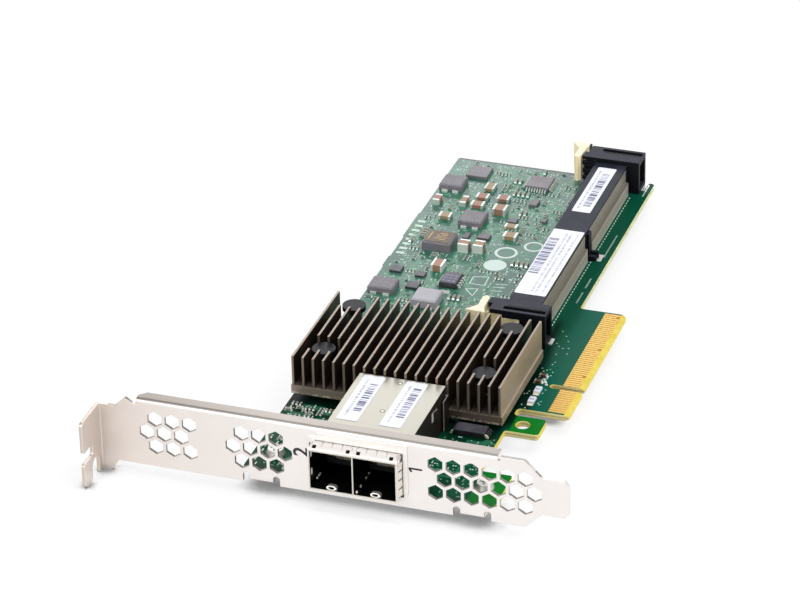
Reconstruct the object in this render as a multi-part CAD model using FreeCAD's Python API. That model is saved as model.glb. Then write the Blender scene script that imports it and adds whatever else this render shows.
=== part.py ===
import FreeCAD, Part
import math
import os

V = FreeCAD.Vector

# Stations used below, in millimetres: x from the board's long left edge,
# y back from the bracket's front face, z up from the board's top face.
# seat() moves every finished piece to the row's origin: the finger edge in x,
# the key slot's centre in y and the middle of the board in z.

# ---- circuit board
board_thickness = 1.57
board_depth = 68.9
board_front = 1.9
board_rear = 170.75
rear_edge = 56.25            # right edge behind the finger tongue
waist_edge = 55.6            # right edge between the two front tabs
front_tab_edge = 63.85
front_tab_end = 16.5
hole_tab_edge = 64.2
hole_tab_start = 35.9
hole_tab_end = 43.5
key_station = 59.5           # bracket face to the key slot's centre
key_width = 1.9
key_depth = 8.8
tongue_lead = 11.65          # finger tongue ahead of the key
tongue_tail = 38.65          # finger tongue behind the key
finger_pitch = 1.0
finger_width = 0.7
finger_inner = 5.7           # pads' inner ends, in from the finger edge
finger_outer = 1.3           # pads' outer ends, where the bevel starts
finger_skin = 0.05
lead_fingers = 11
tail_fingers = 38
board_hole_x = 59.2
board_hole_y = 39.64
board_hole_r = 1.9

# ---- bracket
sheet = 0.86
bracket_height = 120.02
bracket_width = 18.42
bracket_reach = 37.0         # bracket's mount tab end out past the board's left edge
board_seat = 2.84            # bracket's lower edge to the board's top face
foot_width = 10.19
shoulder = 109.04
tab_length = 10.57
tab_drop = 3.17
tab_top = 15.45
screw_slot = 4.42
flange_depth = 3.6
flange_start = 10.7
flange_end = 102.4
vent_flats = 3.7
vent_pitch = 4.468
vent_first = 15.33
vent_mid = 9.43
board_tab_width = 5.95
board_tab_length = 13.2
board_tab_left = 5.5
board_tab_right = 58.9
relief = 1.8
screw_y = 9.95
screw_r = 1.25
screw_head_r = 2.4
screw_head_h = 1.4
screw_play = 0.25

# ---- port cage
cage_left = 18.9
cage_width = 22.2
cage_nose = -3.0
cage_rear = 34.3
cage_height = 10.9
cage_sheet = 0.3
divider = 0.35
collar_rise = 1.15
collar_spread = 0.55
collar_sheet = 0.2
collar_gap = 0.2
gasket_above = 2.0           # thin frame on the bracket's face, past the fingers
gasket_beside = 1.2
gasket = 0.25
lid_hole = 0.9
lid_hole_reach = 4.2         # from a port's middle
flap_gap = 0.4
flap_length = 3.3
flap_drop = 2.4              # flaps' upper edges below the lid
loop_height = 1.4            # keying loop in each mouth
loop_width = 2.6
loop_strip = 0.35
fingers_per_port = 4
connector_width = 8.6
connector_height = 8.3
connector_front = 12.0
connector_nose = 5.5
paddle_slot_width = 7.4
paddle_slot = 1.1
ways = 13
way_pitch = 0.55

# ---- heatsink and controller
sink_left = 0.4
sink_width = 55.0
sink_front = 35.0
sink_length = 34.3
sink_seat = 1.8
sink_base = 2.3
sink_ledge = 0.35            # base past the outer fins
sink_top = 12.4
fin_count = 21
fin = 0.58
pin_inset_left = 5.9
pin_inset_right = 7.2
pin_front = 43.3
pin_rear = 66.0
pin_cap_r = 3.0
pin_cap = 1.2
pin_top = 11.0
pin_r = 1.2
pin_hole_r = 1.6
chip_side = 31.0
chip_substrate = 1.1
chip_lid_side = 27.0

# ---- cache module socket
socket_left = 41.6
socket_right = 50.4
socket_front = 82.4
socket_rear = 163.8
socket_top = 8.2
slot_mid = 4.8
slot_height = 1.4
slot_depth = 5.6
rib_start = 124.5
rib_end = 127.0
end_left = 37.7
end_right = 53.7
end_height = 9.5
end_plate = 1.2
end_wall = 0.9
end_depth_front = 5.9
end_depth_rear = 6.7
end_step = 1.2               # outer half of each end stands back this far at its left
beam_height = 2.1
top_slot = 1.4
tail_pitch = 0.6
tail_width = 0.32
tail_ledge = 4.0
tail_step = 0.75
pivot_x = 44.5
pivot_inset = 2.45           # latch pivot, out from the socket's end
pivot_r = 0.8
pivot_play = 0.05
hub_r = 1.2
latch_gap = 0.35             # hub to the plates above and below
arm_low = 2.0
arm_high = 7.0
head_high = 9.4

# ---- chip resistors by the fingers
filter_offset = 6.0          # in from the pads' inner ends
filter_first = 8.5           # first one's middle, ahead of the key
filter_pitch = 5.1
filter_width = 1.6
filter_length = 2.5
filter_height = 0.75


# ---- helpers

def box(x0, x1, y0, y1, z0, z1):
    return Part.makeBox(x1 - x0, y1 - y0, z1 - z0, V(x0, y0, z0))


def post(x, y, radius, z0, z1):
    return Part.makeCylinder(radius, z1 - z0, V(x, y, z0))


PLANES = {
    "x": (lambda u, v: V(0, u, v), V(1, 0, 0)),
    "y": (lambda u, v: V(u, 0, v), V(0, 1, 0)),
    "z": (lambda u, v: V(u, v, 0), V(0, 0, 1)),
}


def prism(corners, low, high, way="z"):
    """Solid run along one axis from a loop of (u, v, corner radius) points."""
    spot, axis = PLANES[way]
    turns = []
    for i, (u, v, radius) in enumerate(corners):
        here = spot(u, v)
        back = (spot(*corners[i - 1][:2]) - here).normalize()
        onward = (spot(*corners[(i + 1) % len(corners)][:2]) - here).normalize()
        if radius == 0:
            turns.append((here, None, here))
            continue
        half = back.getAngle(onward) / 2
        run = radius / math.tan(half)
        centre = here + (back + onward).normalize() * (radius / math.sin(half))
        middle = centre + (here - centre).normalize() * radius
        turns.append((here + back * run, middle, here + onward * run))
    edges = []
    for i, (start, middle, end) in enumerate(turns):
        if middle is not None:
            edges.append(Part.Arc(start, middle, end).toShape())
        following = turns[(i + 1) % len(turns)][0]
        if (following - end).Length > 1e-6:
            edges.append(Part.makeLine(end, following))
    face = Part.Face(Part.Wire(edges))
    face.translate(axis * low)
    return face.extrude(axis * (high - low))


def ring_profile(points, x, y):
    """Solid of revolution about a vertical axis from (radius, z) points."""
    wire = Part.makePolygon([V(x + r, y, z) for r, z in points + points[:1]])
    return Part.Face(wire).revolve(V(x, y, 0), V(0, 0, 1), 360)


def join(shapes):
    return shapes[0].fuse(shapes[1:]).removeSplitter()


def cut(shape, tools):
    return shape.cut(Part.makeCompound(tools))


def group(solids):
    return Part.makeCompound(solids)


pieces = {}


def keep(name, shape):
    pieces[name] = shape


# ---- circuit board

tongue_front = key_station - key_width / 2 - tongue_lead
tongue_end = key_station + key_width / 2 + tongue_tail
pin_spots = [(sink_left + pin_inset_left, pin_front),
             (sink_left + pin_inset_left, pin_rear),
             (sink_left + sink_width - pin_inset_right, pin_front),
             (sink_left + sink_width - pin_inset_right, pin_rear)]


def circuit_board():
    key_end = board_depth - key_depth
    key_low = key_station - key_width / 2
    key_high = key_station + key_width / 2
    nub = 0.35
    outline = [
        (0, board_front, 0.8),
        (front_tab_edge, board_front, 0.8),
        (front_tab_edge, front_tab_end, 0.8),
        (waist_edge, front_tab_end, 0.8),
        (waist_edge, hole_tab_start, 0.8),
        (hole_tab_edge, hole_tab_start, 1.0),
        (hole_tab_edge, hole_tab_end, 1.0),
        (waist_edge, hole_tab_end, 1.2),
        (waist_edge, tongue_front, 1.2),
        (board_depth, tongue_front, 0.6),
        (board_depth, key_low, 0.3),
        (key_end, key_low, 0.9),
        (key_end, key_high, 0.9),
        (board_depth, key_high, 0.3),
        (board_depth, tongue_end, 1.5),
        (rear_edge, tongue_end, 0.8),
        (rear_edge, board_rear, 0.8),
        (0, board_rear, 0.8),
    ]
    for start, end in ((137.0, 123.0), (112.0, 106.0)):
        outline += [(0, start, 0), (-nub, start - nub, 0), (-nub, end + nub, 0), (0, end, 0)]
    board = prism(outline, -board_thickness, 0)
    tools = [post(board_hole_x, board_hole_y, board_hole_r, -2, 1)]
    tools += [post(x, y, pin_hole_r, -2, 1) for x, y in pin_spots]
    tools += [post(x, screw_y, screw_r + screw_play, -2, 1) for x in (board_tab_left, board_tab_right)]
    bevel = 0.45
    for face, away in ((0, 1), (-board_thickness, -1)):
        wedge = [(board_depth - finger_outer, face, 0),
                 (board_depth + 0.2, face, 0),
                 (board_depth + 0.2, face - away * bevel, 0)]
        tools.append(prism(wedge, tongue_front - 1, tongue_end + 1, "y"))
    return cut(board, tools)


def edge_contacts(low, high, short_ones):
    """Row of contact pads on one face of the tongue, counted out from the key."""
    pads = []
    centres = [key_station - finger_pitch * (i + 1.5) for i in range(lead_fingers)]
    centres += [key_station + finger_pitch * (i + 1.5) for i in range(tail_fingers)]
    inner = board_depth - finger_inner
    for n, y in enumerate(centres):
        outer = board_depth - finger_outer
        if n in short_ones:
            outer -= 1.0
        pads.append(box(inner, outer, y - finger_width / 2, y + finger_width / 2, low, high))
    return group(pads)


# ---- bracket, built from its mount tab end and its lower edge, then moved

def hexagon(x, z):
    """Vent cutter with a point up, across flats vent_flats."""
    radius = vent_flats / math.sqrt(3)
    points = [(x + radius * math.sin(math.radians(60 * i)),
               z + radius * math.cos(math.radians(60 * i)), 0) for i in range(6)]
    return prism(points, -1, sheet + 1, "y")


def vents():
    """Three fields of hexagons on a honeycomb lattice."""
    row_pitch = vent_pitch * math.sqrt(3) / 2
    cutters = []
    for outer, middle in ((range(0, 3), range(0, 3)),
                          (range(5, 8), range(5, 9)),
                          (range(16, 22), range(17, 23))):
        for i in outer:
            for side in (-1, 1):
                cutters.append(hexagon(vent_first + vent_pitch * i, vent_mid + side * row_pitch))
        for i in middle:
            cutters.append(hexagon(vent_first + vent_pitch * (i - 0.5), vent_mid))
    return cutters


def board_tab(centre):
    """Tab folded back under the board from the lower edge, with its screw hole."""
    top = board_seat - board_thickness
    half = board_tab_width / 2
    fold = [(0, top + 0.7, 0), (0, top - sheet, 0.8), (board_tab_length, top - sheet, 0),
            (board_tab_length, top, 0), (sheet, top, 0.1), (sheet, top + 0.7, 0)]
    tab = prism(fold, centre - half, centre + half, "x")
    return tab.cut(post(centre, screw_y, screw_r + 0.05, 0, top + 1))


def bracket():
    foot_low = (bracket_width - foot_width) / 2
    foot_high = bracket_width - foot_low
    neck = shoulder + foot_low
    face = prism([
        (1.5, -tab_drop, 0), (3.15, -tab_drop, 0.3), (5.3, 0, 0),
        (shoulder, 0, 0), (neck, foot_low, 0.5), (bracket_height - 1.22, foot_low, 0),
        (bracket_height, foot_low + 1.6, 0.3), (bracket_height, foot_high - 1.4, 0.3),
        (bracket_height - 1.22, foot_high, 0), (neck, foot_high, 0.5),
        (shoulder, bracket_width, 0), (flange_end + 0.6, bracket_width, 0),
        (flange_end + 0.6, bracket_width - 1.2, 0), (flange_end, bracket_width - 1.2, 0),
        (flange_end, bracket_width - 1.5, 0), (flange_start, bracket_width - 1.5, 0),
        (9.6, bracket_width - 1.5, 0), (7.83, bracket_width - 0.3, 0.3),
        (5.0, tab_top, 0.4), (1.5, tab_top, 0),
    ], 0, sheet, "y")
    fold = prism([(0, -1.2, 0), (0, sheet, 1.2), (2.5, sheet, 0), (2.5, 0, 0),
                  (sheet, 0, 0.34), (sheet, -1.2, 0)], -tab_drop, tab_top)
    slot_rear = -1.7
    slot_front = slot_rear - screw_slot
    slot_top = 2.4
    tab = prism([
        (-1.0, tab_top, 0), (-tab_length, tab_top, 1.0), (-tab_length, 7.0, 0.5),
        (-5.1, 7.0, 0.5), (-5.1, 3.8, 0.5), (-tab_length, 3.8, 0.5),
        (-tab_length, -tab_drop, 2.0), (slot_front, -tab_drop, 2.0),
        (slot_front, slot_top, screw_slot / 2 - 0.01), (slot_rear, slot_top, screw_slot / 2 - 0.01),
        (slot_rear, -tab_drop, 0), (-1.0, -tab_drop, 0),
    ], 0, sheet, "x")
    top = bracket_width
    flange = prism([(0, top - 2.0, 0), (0, top, 1.0), (flange_depth, top, 0),
                    (flange_depth, top - sheet, 0), (sheet, top - sheet, 0.14), (sheet, top - 2.0, 0)],
                   flange_start, flange_end, "x")
    corner = [(flange_start - 1, flange_depth - 1.7, 0), (flange_start, flange_depth - 1.7, 0),
              (flange_start + 1.7, flange_depth, 0), (flange_start + 1.7, flange_depth + 1, 0),
              (flange_start - 1, flange_depth + 1, 0)]
    flange = flange.cut(prism(corner, top - 2, top + 1))
    tools = vents()
    spread = collar_spread + collar_gap
    window_left = bracket_reach + cage_left - spread
    window_right = bracket_reach + cage_left + cage_width + spread
    window = [(window_left, board_seat - 0.25, 0), (window_right, board_seat - 0.25, 0),
              (window_right, board_seat + cage_height + collar_rise + collar_gap, 0.6),
              (window_left, board_seat + cage_height + collar_rise + collar_gap, 0.6)]
    tools.append(prism(window, -1, sheet + 1, "y"))
    half = board_tab_width / 2
    tab_low = board_seat - board_thickness + 0.5
    for x in (board_tab_left, board_tab_right):
        centre = bracket_reach + x
        tools.append(box(centre - half - relief, centre + half + relief, -1, 2, -1, tab_low - 0.1))
        for side in (-1, 1):
            edge = centre + side * (half + relief / 2)
            tools.append(Part.makeCylinder(relief / 2, 3, V(edge, -1, tab_low - 0.1), V(0, 1, 0)))
    face = cut(face, tools)
    tabs = [board_tab(bracket_reach + x) for x in (board_tab_left, board_tab_right)]
    whole = join([face, fold, tab, flange] + tabs)
    whole.translate(V(-bracket_reach, 0, -board_seat))
    return whole


def bracket_screws():
    low = -board_thickness - sheet - 0.3
    screws = []
    for x in (board_tab_left, board_tab_right):
        profile = [(0, low), (screw_r, low), (screw_r, 0), (screw_head_r, 0),
                   (screw_head_r - 0.5, screw_head_h), (0, screw_head_h)]
        screw = ring_profile(profile, x, screw_y)
        arm = screw_head_r * 0.55
        recess = [box(x - arm, x + arm, screw_y - 0.25, screw_y + 0.25, screw_head_h - 0.7, 3),
                  box(x - 0.25, x + 0.25, screw_y - arm, screw_y + arm, screw_head_h - 0.7, 3)]
        screws.append(cut(screw, recess))
    return group(screws)


# ---- port cage

cage_right = cage_left + cage_width
cage_mid = cage_left + cage_width / 2
port_centres = [cage_mid - cage_width / 4, cage_mid + cage_width / 4]


def lid_holes():
    """Cutters for the small square holes just behind the nose's upper lip."""
    low = cage_nose + 0.8
    spots = [x + side * lid_hole_reach for x in port_centres for side in (-1, 1)]
    return [box(x - lid_hole / 2, x + lid_hole / 2, low, low + lid_hole, cage_height - 1, cage_height + 0.8)
            for x in spots]


def port_cage():
    """Folded cover: lid and two side walls, open below, with lanced side springs."""
    s = cage_sheet
    shell = box(cage_left, cage_right, cage_nose, cage_rear, 0, cage_height)
    tools = [box(cage_left + s, cage_right - s, cage_nose - 1, cage_rear + 1, -1, cage_height - s)]
    tools += lid_holes()
    tongues = []
    for wall, away in ((cage_left, -1), (cage_right, 1)):
        tools.append(box(wall - 1, wall + 1, 24.0, 27.0, 6.4, 9.4))
        inner = wall - away * s
        blade = [(inner, 23.9, 0), (wall, 23.9, 0), (wall + away * 0.5, 26.7, 0), (inner + away * 0.5, 26.7, 0)]
        tongues.append(prism(blade, 6.8, 9.0))
    return join([cut(shell, tools)] + tongues)


def cage_floor():
    """Floor sheet between the walls, with a keying loop standing up in each mouth."""
    s = cage_sheet
    floor = box(cage_left + s, cage_right - s, cage_nose, cage_rear, 0, s)
    outer = loop_width / 2
    inner = outer - loop_strip
    under = loop_height - loop_strip
    foot = s - 0.1
    loops = []
    for x in port_centres:
        arch = [(x - outer, foot, 0), (x - outer, loop_height, 0.8), (x + outer, loop_height, 0.8), (x + outer, foot, 0),
                (x + inner, foot, 0), (x + inner, under, 0.45), (x - inner, under, 0.45), (x - inner, foot, 0)]
        loops.append(prism(arch, cage_nose + 0.5, cage_nose + 1.5, "y"))
    return join([floor] + loops)


def cage_divider():
    low = cage_sheet
    high = cage_height - cage_sheet
    return box(cage_mid - divider / 2, cage_mid + divider / 2, cage_nose, cage_rear, low, high)


def cage_rear_cover():
    """Back sheet of the cage with flaps wrapped round both side walls."""
    s = cage_sheet
    flap_top = cage_height - flap_drop
    left = cage_left - flap_gap
    right = cage_right + flap_gap
    back = box(left - s, right + s, cage_rear, cage_rear + s, 0, flap_top)
    upper = box(cage_left, cage_right, cage_rear, cage_rear + s, flap_top, cage_height)
    flaps = [box(x, x + s, cage_rear - flap_length, cage_rear, 0, flap_top) for x in (left - s, right)]
    return join([back, upper] + flaps)


def spring_finger(rise):
    """Side view of one spring finger as (back, out) points, hooked at the nose."""
    start = cage_nose + 0.5
    t = collar_sheet
    return [(start, 0, 0), (-0.4, rise, 0), (0.35, rise, 0), (1.7, rise * 0.5, 0),
            (1.7, rise * 0.5 - t, 0), (0.3, rise - t, 0), (-0.25, rise - t, 0), (start + 0.6, 0, 0)]


def finger_collar():
    """Sheet band round the cage nose with rows of bowed fingers on three sides."""
    t = collar_sheet
    band_rear = cage_nose + 0.9
    band = box(cage_left - t, cage_right + t, cage_nose, band_rear, -t, cage_height + t)
    band = band.cut(box(cage_left, cage_right, cage_nose - 1, band_rear + 1, 0, cage_height))
    parts = [band]
    pitch = (cage_width / 2 - 1.4) / fingers_per_port
    width = pitch - 0.4
    for centre in port_centres:
        for i in range(fingers_per_port):
            x = centre + (i - (fingers_per_port - 1) / 2) * pitch
            side = [(y, cage_height + z, r) for y, z, r in spring_finger(collar_rise)]
            parts.append(prism(side, x - width / 2, x + width / 2, "x"))
    rows = 4
    step = (cage_height - 1.2) / rows
    for i in range(rows):
        z = 0.6 + step * (i + 0.5)
        for wall, away in ((cage_left, -1), (cage_right, 1)):
            side = [(wall + away * out, y, r) for y, out, r in spring_finger(collar_spread)]
            parts.append(prism(side, z - step / 2 + 0.2, z + step / 2 - 0.2))
    fingers = cut(join(parts), lid_holes())
    window_side = cage_right + collar_spread + collar_gap
    window_top = cage_height + collar_rise + collar_gap
    frame = box(cage_left + gasket_beside, window_side + gasket_beside, -gasket, 0, 1.0, window_top + gasket_above)
    opening = box(cage_left - 5, window_side, -1, 1, -5, window_top)
    corner = box(cage_left - collar_spread - 2 * collar_gap, cage_left + 0.8, -gasket, 0,
                 cage_height + 2 * t, window_top + gasket_above / 3)
    ledge = box(cage_left + 0.5, cage_left + gasket_beside + 1, -gasket, 0, window_top, window_top + gasket_above / 3)
    return group([fingers, join([cut(frame, [opening]), corner, ledge])])


def port_connectors():
    """Black receptacle in each port: a block with a slotted nose for the plug's paddle."""
    s = cage_sheet
    half = connector_width / 2
    mid = s + connector_height * 0.55
    bodies = []
    for x in port_centres:
        block = box(x - half, x + half, connector_front, cage_rear, s, s + connector_height)
        nose = box(x - half + 0.2, x + half - 0.2, connector_nose, connector_front, mid - 2.2, mid + 2.2)
        slot = box(x - paddle_slot_width / 2, x + paddle_slot_width / 2, connector_nose - 1,
                   connector_front + 1.5, mid - paddle_slot / 2, mid + paddle_slot / 2)
        bodies.append(join([block, nose]).cut(slot))
    return group(bodies)


def port_contacts():
    mid = cage_sheet + connector_height * 0.55
    skin = 0.12
    strips = []
    for x in port_centres:
        for i in range(ways):
            at = x + (i - (ways - 1) / 2) * way_pitch
            for face, away in ((mid - paddle_slot / 2, 1), (mid + paddle_slot / 2, -1)):
                ends = sorted((face, face + away * skin))
                strips.append(box(at - 0.14, at + 0.14, connector_nose + 0.4, connector_front + 1.2, *ends))
    return group(strips)


def label(x0, x1, y0, y1, z):
    return prism([(x0, y0, 0.4), (x1, y0, 0.4), (x1, y1, 0.4), (x0, y1, 0.4)], z, z + 0.08)


# ---- controller and heatsink

sink_right = sink_left + sink_width
sink_rear = sink_front + sink_length
chip_x = sink_left + sink_width / 2
chip_y = sink_front + sink_length / 2


def square(side, low, high, corner):
    half = side / 2
    return prism([(chip_x - half, chip_y - half, corner), (chip_x + half, chip_y - half, corner),
                  (chip_x + half, chip_y + half, corner), (chip_x - half, chip_y + half, corner)], low, high)


def heatsink():
    """Extruded comb of fins, milled away round the four push pins."""
    top_of_base = sink_seat + sink_base
    pitch = (sink_width - 2 * sink_ledge - fin) / (fin_count - 1)
    comb = [(sink_left, top_of_base, 0), (sink_left, sink_seat, 0),
            (sink_right, sink_seat, 0), (sink_right, top_of_base, 0)]
    for i in reversed(range(fin_count)):
        left = sink_left + sink_ledge + i * pitch
        comb += [(left + fin, top_of_base, 0), (left + fin, sink_top, 0), (left, sink_top, 0), (left, top_of_base, 0)]
    body = prism(comb, sink_front, sink_rear, "y")
    tools = []
    for x, y in pin_spots:
        tools.append(post(x, y, pin_hole_r, 0, 9))
        low = x - pin_cap_r - 0.3
        high = x + pin_cap_r + 0.3
        if y == pin_rear:
            tools.append(box(low, high, y - pin_cap_r - 0.4, sink_rear + 1, top_of_base, 20))
        elif x < chip_x:
            tools.append(box(low, high, y - pin_cap_r - 0.3, y + pin_cap_r + 0.3, top_of_base, 20))
        else:
            tools.append(box(low, high, y - pin_cap_r - 0.3, y + pin_cap_r + 1.9, top_of_base, 20))
    return cut(body, tools)


def push_pins():
    """Capped pins through the base and the board, each with a barbed foot below."""
    under = -board_thickness
    cap_low = pin_top - pin_cap
    pins = []
    for x, y in pin_spots:
        profile = [(0, under - 2.2), (pin_hole_r + 0.5, under), (pin_r, under), (pin_r, cap_low),
                   (pin_cap_r, cap_low), (pin_cap_r, pin_top), (0, pin_top)]
        pins.append(ring_profile(profile, x, y))
    return group(pins)


def pin_springs():
    """Coil of square wire round each pin, between the base and the cap."""
    wire = 0.4
    radius = 1.95
    turns = 3
    around = 9
    steps = around * turns
    low = sink_seat + sink_base + wire / 2
    rise = (pin_top - pin_cap - wire - low) / steps
    coils = []
    for x, y in pin_spots:
        path = Part.makePolygon([
            V(x + radius * math.cos(math.tau * i / around), y + radius * math.sin(math.tau * i / around), low + rise * i)
            for i in range(steps + 1)])
        h = wire / 2
        start = V(x + radius, y, low)
        square_wire = Part.makePolygon([start + V(a * h, 0, b * h) for a, b in
                                        ((-1, -1), (1, -1), (1, 1), (-1, 1), (-1, -1))])
        coils.append(path.makePipeShell([square_wire], True, False, 1))
    return group(coils)


# ---- cache module socket

def socket_body():
    """Long bar with a card slot in its left face, parted by a keying rib."""
    bar = box(socket_left, socket_right, socket_front, socket_rear, 0.15, socket_top)
    low = slot_mid - slot_height / 2
    high = slot_mid + slot_height / 2
    mouth = socket_left - 1
    bottom = socket_left + slot_depth
    back = socket_right - 0.5
    ledge = socket_top - 0.5
    tools = []
    for start, end, shut in ((socket_front, rib_start, 1), (rib_end, socket_rear, -1)):
        outer = 1.6 if shut > 0 else 0
        inner = 0 if shut > 0 else 1.6
        tools.append(box(mouth, bottom, start + outer, end - inner, low, high))
        tools.append(box(back, socket_right + 1, start + outer * 0.75, end - inner * 0.75, -1, ledge))
    return cut(bar, tools)


def socket_end(inner, away, depth):
    """Housing at one end of the socket: two plates with the latch's bores, an inner
    wall that ends in three guide teeth, and a slotted beam and wall on its outer side."""
    def span(near, far):
        return sorted((inner + away * near, inner + away * far))

    teeth = end_left + 4.0
    beam = depth - 1.0
    top = end_height - end_plate
    block = box(end_left, end_right, *span(0, depth), 0, end_height)
    tools = [
        box(end_left - 1, end_left + end_step, *span(2.8, depth + 1), -1, end_height + 1),
        box(end_left - 1, end_right + 1, *span(end_wall, beam), end_plate, top),
        box(end_left - 1, pivot_x + 3, *span(beam - 0.5, depth + 1), end_plate, end_height - beam_height),
        box(end_left - 1, pivot_x - 2.3, *span(beam - 0.5, depth + 1), end_plate, top),
        box(pivot_x - 2.3, end_right - 0.4, *span(beam - top_slot, beam), end_plate, end_height + 1),
    ]
    for low, high in ((end_plate, 2.2), (3.4, 4.4), (5.6, 6.9), (8.0, top + 0.3)):
        tools.append(box(end_left - 1, teeth, *span(-1, end_wall), low, high))
    pivot = inner + away * pivot_inset
    bore = pivot_r + pivot_play
    tools.append(post(pivot_x, pivot, bore, end_plate - 0.7, top + 0.7))
    return cut(block, tools)


def tail_row(start, end):
    """Contact tails that step out and down the socket's right side to the board."""
    back = socket_right - 0.5
    high = socket_top - 0.5
    out = socket_right + tail_step
    skin = 0.25
    side = [(back, high, 0), (socket_right, high, 0), (socket_right, tail_ledge, 0),
            (out, tail_ledge, 0), (out, 0, 0), (out - skin, 0, 0), (back, tail_ledge - skin, 0)]
    tails = []
    for i in range(int((end - start) / tail_pitch)):
        y = start + tail_pitch * (i + 0.5)
        tails.append(prism(side, y - tail_width / 2, y + tail_width / 2, "y"))
    return group(tails)


def slot_contacts():
    """Spring contact strips on the slot's lower face, at four times the tails' pitch."""
    low = slot_mid - slot_height / 2
    strips = []
    pitch = 4 * tail_pitch
    x = socket_left + 1.0
    for start, end in ((socket_front + 2.2, rib_start - 0.4), (rib_end + 0.4, socket_rear - 2.2)):
        for i in range(int((end - start) / pitch)):
            y = start + pitch * (i + 0.5)
            strips.append(box(x, x + slot_depth - 1.8, y - 0.8, y + 0.8, low, low + 0.1))
    return group(strips)


def socket_peg():
    """Mid rib on the socket's right side, with a foot and a rounded lug on the board."""
    low = rib_start + 0.2
    high = rib_end - 0.2
    rib = box(socket_right, socket_right + tail_step, low, high, 0, socket_top - 0.6)
    foot = box(socket_right, end_right - 0.4, high - 0.9, high, 0, 2.0)
    lug = prism([(socket_right, low - 0.5, 0), (end_right - 0.5, low - 0.5, 0.6),
                 (end_right - 0.5, low + 0.9, 0.6), (socket_right, low + 0.9, 0)], 0, 1.3)
    return join([rib, foot, lug])


def latch(pivot, inward):
    """Lever on a vertical pivot: a nose for the module's notch and a finger tab outside.
    Points are (out past the pivot to the left, in towards the module, corner radius)."""
    def turned(points):
        return [(pivot_x - out, pivot + inward * into, radius) for out, into, radius in points]

    head = prism(turned([
        (7.2, 2.4, 0), (8.2, 3.3, 0.5), (9.1, 2.3, 0), (9.0, -2.1, 1.2), (11.6, -5.2, 0.2),
        (6.2, -5.4, 0), (7.2, -2.5, 0),
    ]), arm_low, head_high)
    arm = prism(turned([
        (-0.4, 0.95, 0), (6.3, 0.85, 0), (7.2, 1.7, 0), (8.0, 1.7, 0), (8.0, -1.6, 0),
        (7.2, -1.6, 0), (6.3, -1.0, 0), (-0.4, -0.95, 0),
    ]), arm_low, arm_high)
    top = end_height - end_plate
    hub = post(pivot_x, pivot, hub_r, end_plate + latch_gap, top - latch_gap)
    shaft = post(pivot_x, pivot, pivot_r, end_plate - 0.6, top + 0.6)
    return join([head, arm, hub, shaft])


# ---- small parts on the board

def top_edges(solid, z):
    return [e for e in solid.Edges if all(abs(v.Z - z) < 1e-6 for v in e.Vertexes)]


def block(x0, x1, y0, y1, height, bevel, low=0.0):
    solid = box(x0, x1, y0, y1, low, height)
    return solid.makeChamfer(bevel, top_edges(solid, height))


INDUCTORS = [
    (0.7, 7.1, 151.0, 157.2, 2.0),
    (12.1, 18.7, 132.5, 139.1, 2.0),
    (13.9, 20.7, 87.4, 94.2, 2.5),
    (0.6, 7.5, 91.6, 97.4, 2.0),
]


def inductors():
    return group([block(x0, x1, y0, y1, h, 0.35, 0.1) for x0, x1, y0, y1, h in INDUCTORS])


def inductor_terminals():
    """Flat tails under each choke, showing at its front and rear."""
    tails = []
    for x0, x1, y0, y1, h in INDUCTORS:
        for x in (x0 + 1.7, x1 - 1.7):
            for a, b in ((y0 - 0.55, y0), (y1, y1 + 0.55)):
                tails.append(box(x - 0.8, x + 0.8, a, b, 0, 0.5))
            tails.append(box(x - 0.8, x + 0.8, y0, y1, 0, 0.1))
    return group(tails)


def capacitors(spots, along_x, ends_only):
    """Ceramic blocks with a metal cap on each end; the caps are a part of their own."""
    solids = []
    for x0, x1, y0, y1, h in spots:
        if along_x:
            cap = (x1 - x0) * 0.17
            spans = [(x0, x0 + cap, y0, y1), (x1 - cap, x1, y0, y1)]
            core = (x0 + cap, x1 - cap, y0 + 0.03, y1 - 0.03)
        else:
            cap = (y1 - y0) * 0.2
            spans = [(x0, x1, y0, y0 + cap), (x0, x1, y1 - cap, y1)]
            core = (x0 + 0.03, x1 - 0.03, y0 + cap, y1 - cap)
        if ends_only:
            solids += [box(*span, 0, h) for span in spans]
        else:
            solids.append(box(*core, 0.05, h - 0.03))
    return solids


WIDE_CAPS = [
    (17.8, 21.2, 148.8, 151.4, 1.0),
    (19.0, 22.6, 141.2, 144.6, 1.9),
    (12.0, 15.4, 148.2, 151.0, 1.0),
    (12.0, 15.6, 143.4, 146.2, 1.1),
    (12.9, 16.0, 107.0, 111.0, 1.9),
]
OLIVE_CAPS = [
    (12.7, 15.4, 153.6, 157.3, 1.0),
    (5.7, 9.0, 135.0, 137.6, 1.1),
    (25.8, 29.5, 128.7, 131.6, 1.2),
    (24.4, 27.9, 134.6, 136.8, 0.8),
]
TALL_CAPS = [
    (16.5, 19.3, 118.8, 121.9, 2.5),
    (20.5, 23.2, 119.4, 122.7, 2.4),
    (1.6, 3.5, 142.4, 146.0, 1.6),
    (8.9, 10.6, 143.4, 147.6, 1.3),
]
FLAT_PACKAGES = [
    (2.6, 5.7, 103.4, 106.5, 0.7),
    (9.9, 12.5, 102.8, 105.2, 0.6),
    (9.5, 12.8, 96.1, 99.5, 0.7),
    (24.3, 26.8, 137.9, 140.2, 0.6),
    (32.8, 34.4, 140.4, 142.4, 0.6),
    (27.0, 29.3, 148.6, 151.8, 0.7),
    (19.2, 22.6, 126.8, 129.5, 0.7),
    (15.4, 17.0, 126.0, 129.2, 0.6),
]


def gull(u0, out, top, foot):
    """Side view of a gull-wing lead from a package face at u0, running out."""
    t = 0.15
    a = u0 + out * 0.35
    b = u0 + out * foot
    return [(u0, top, 0), (a + out * t, top, 0), (b, t, 0), (b, 0, 0), (a, 0, 0), (u0, top - t, 0)]


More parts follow.
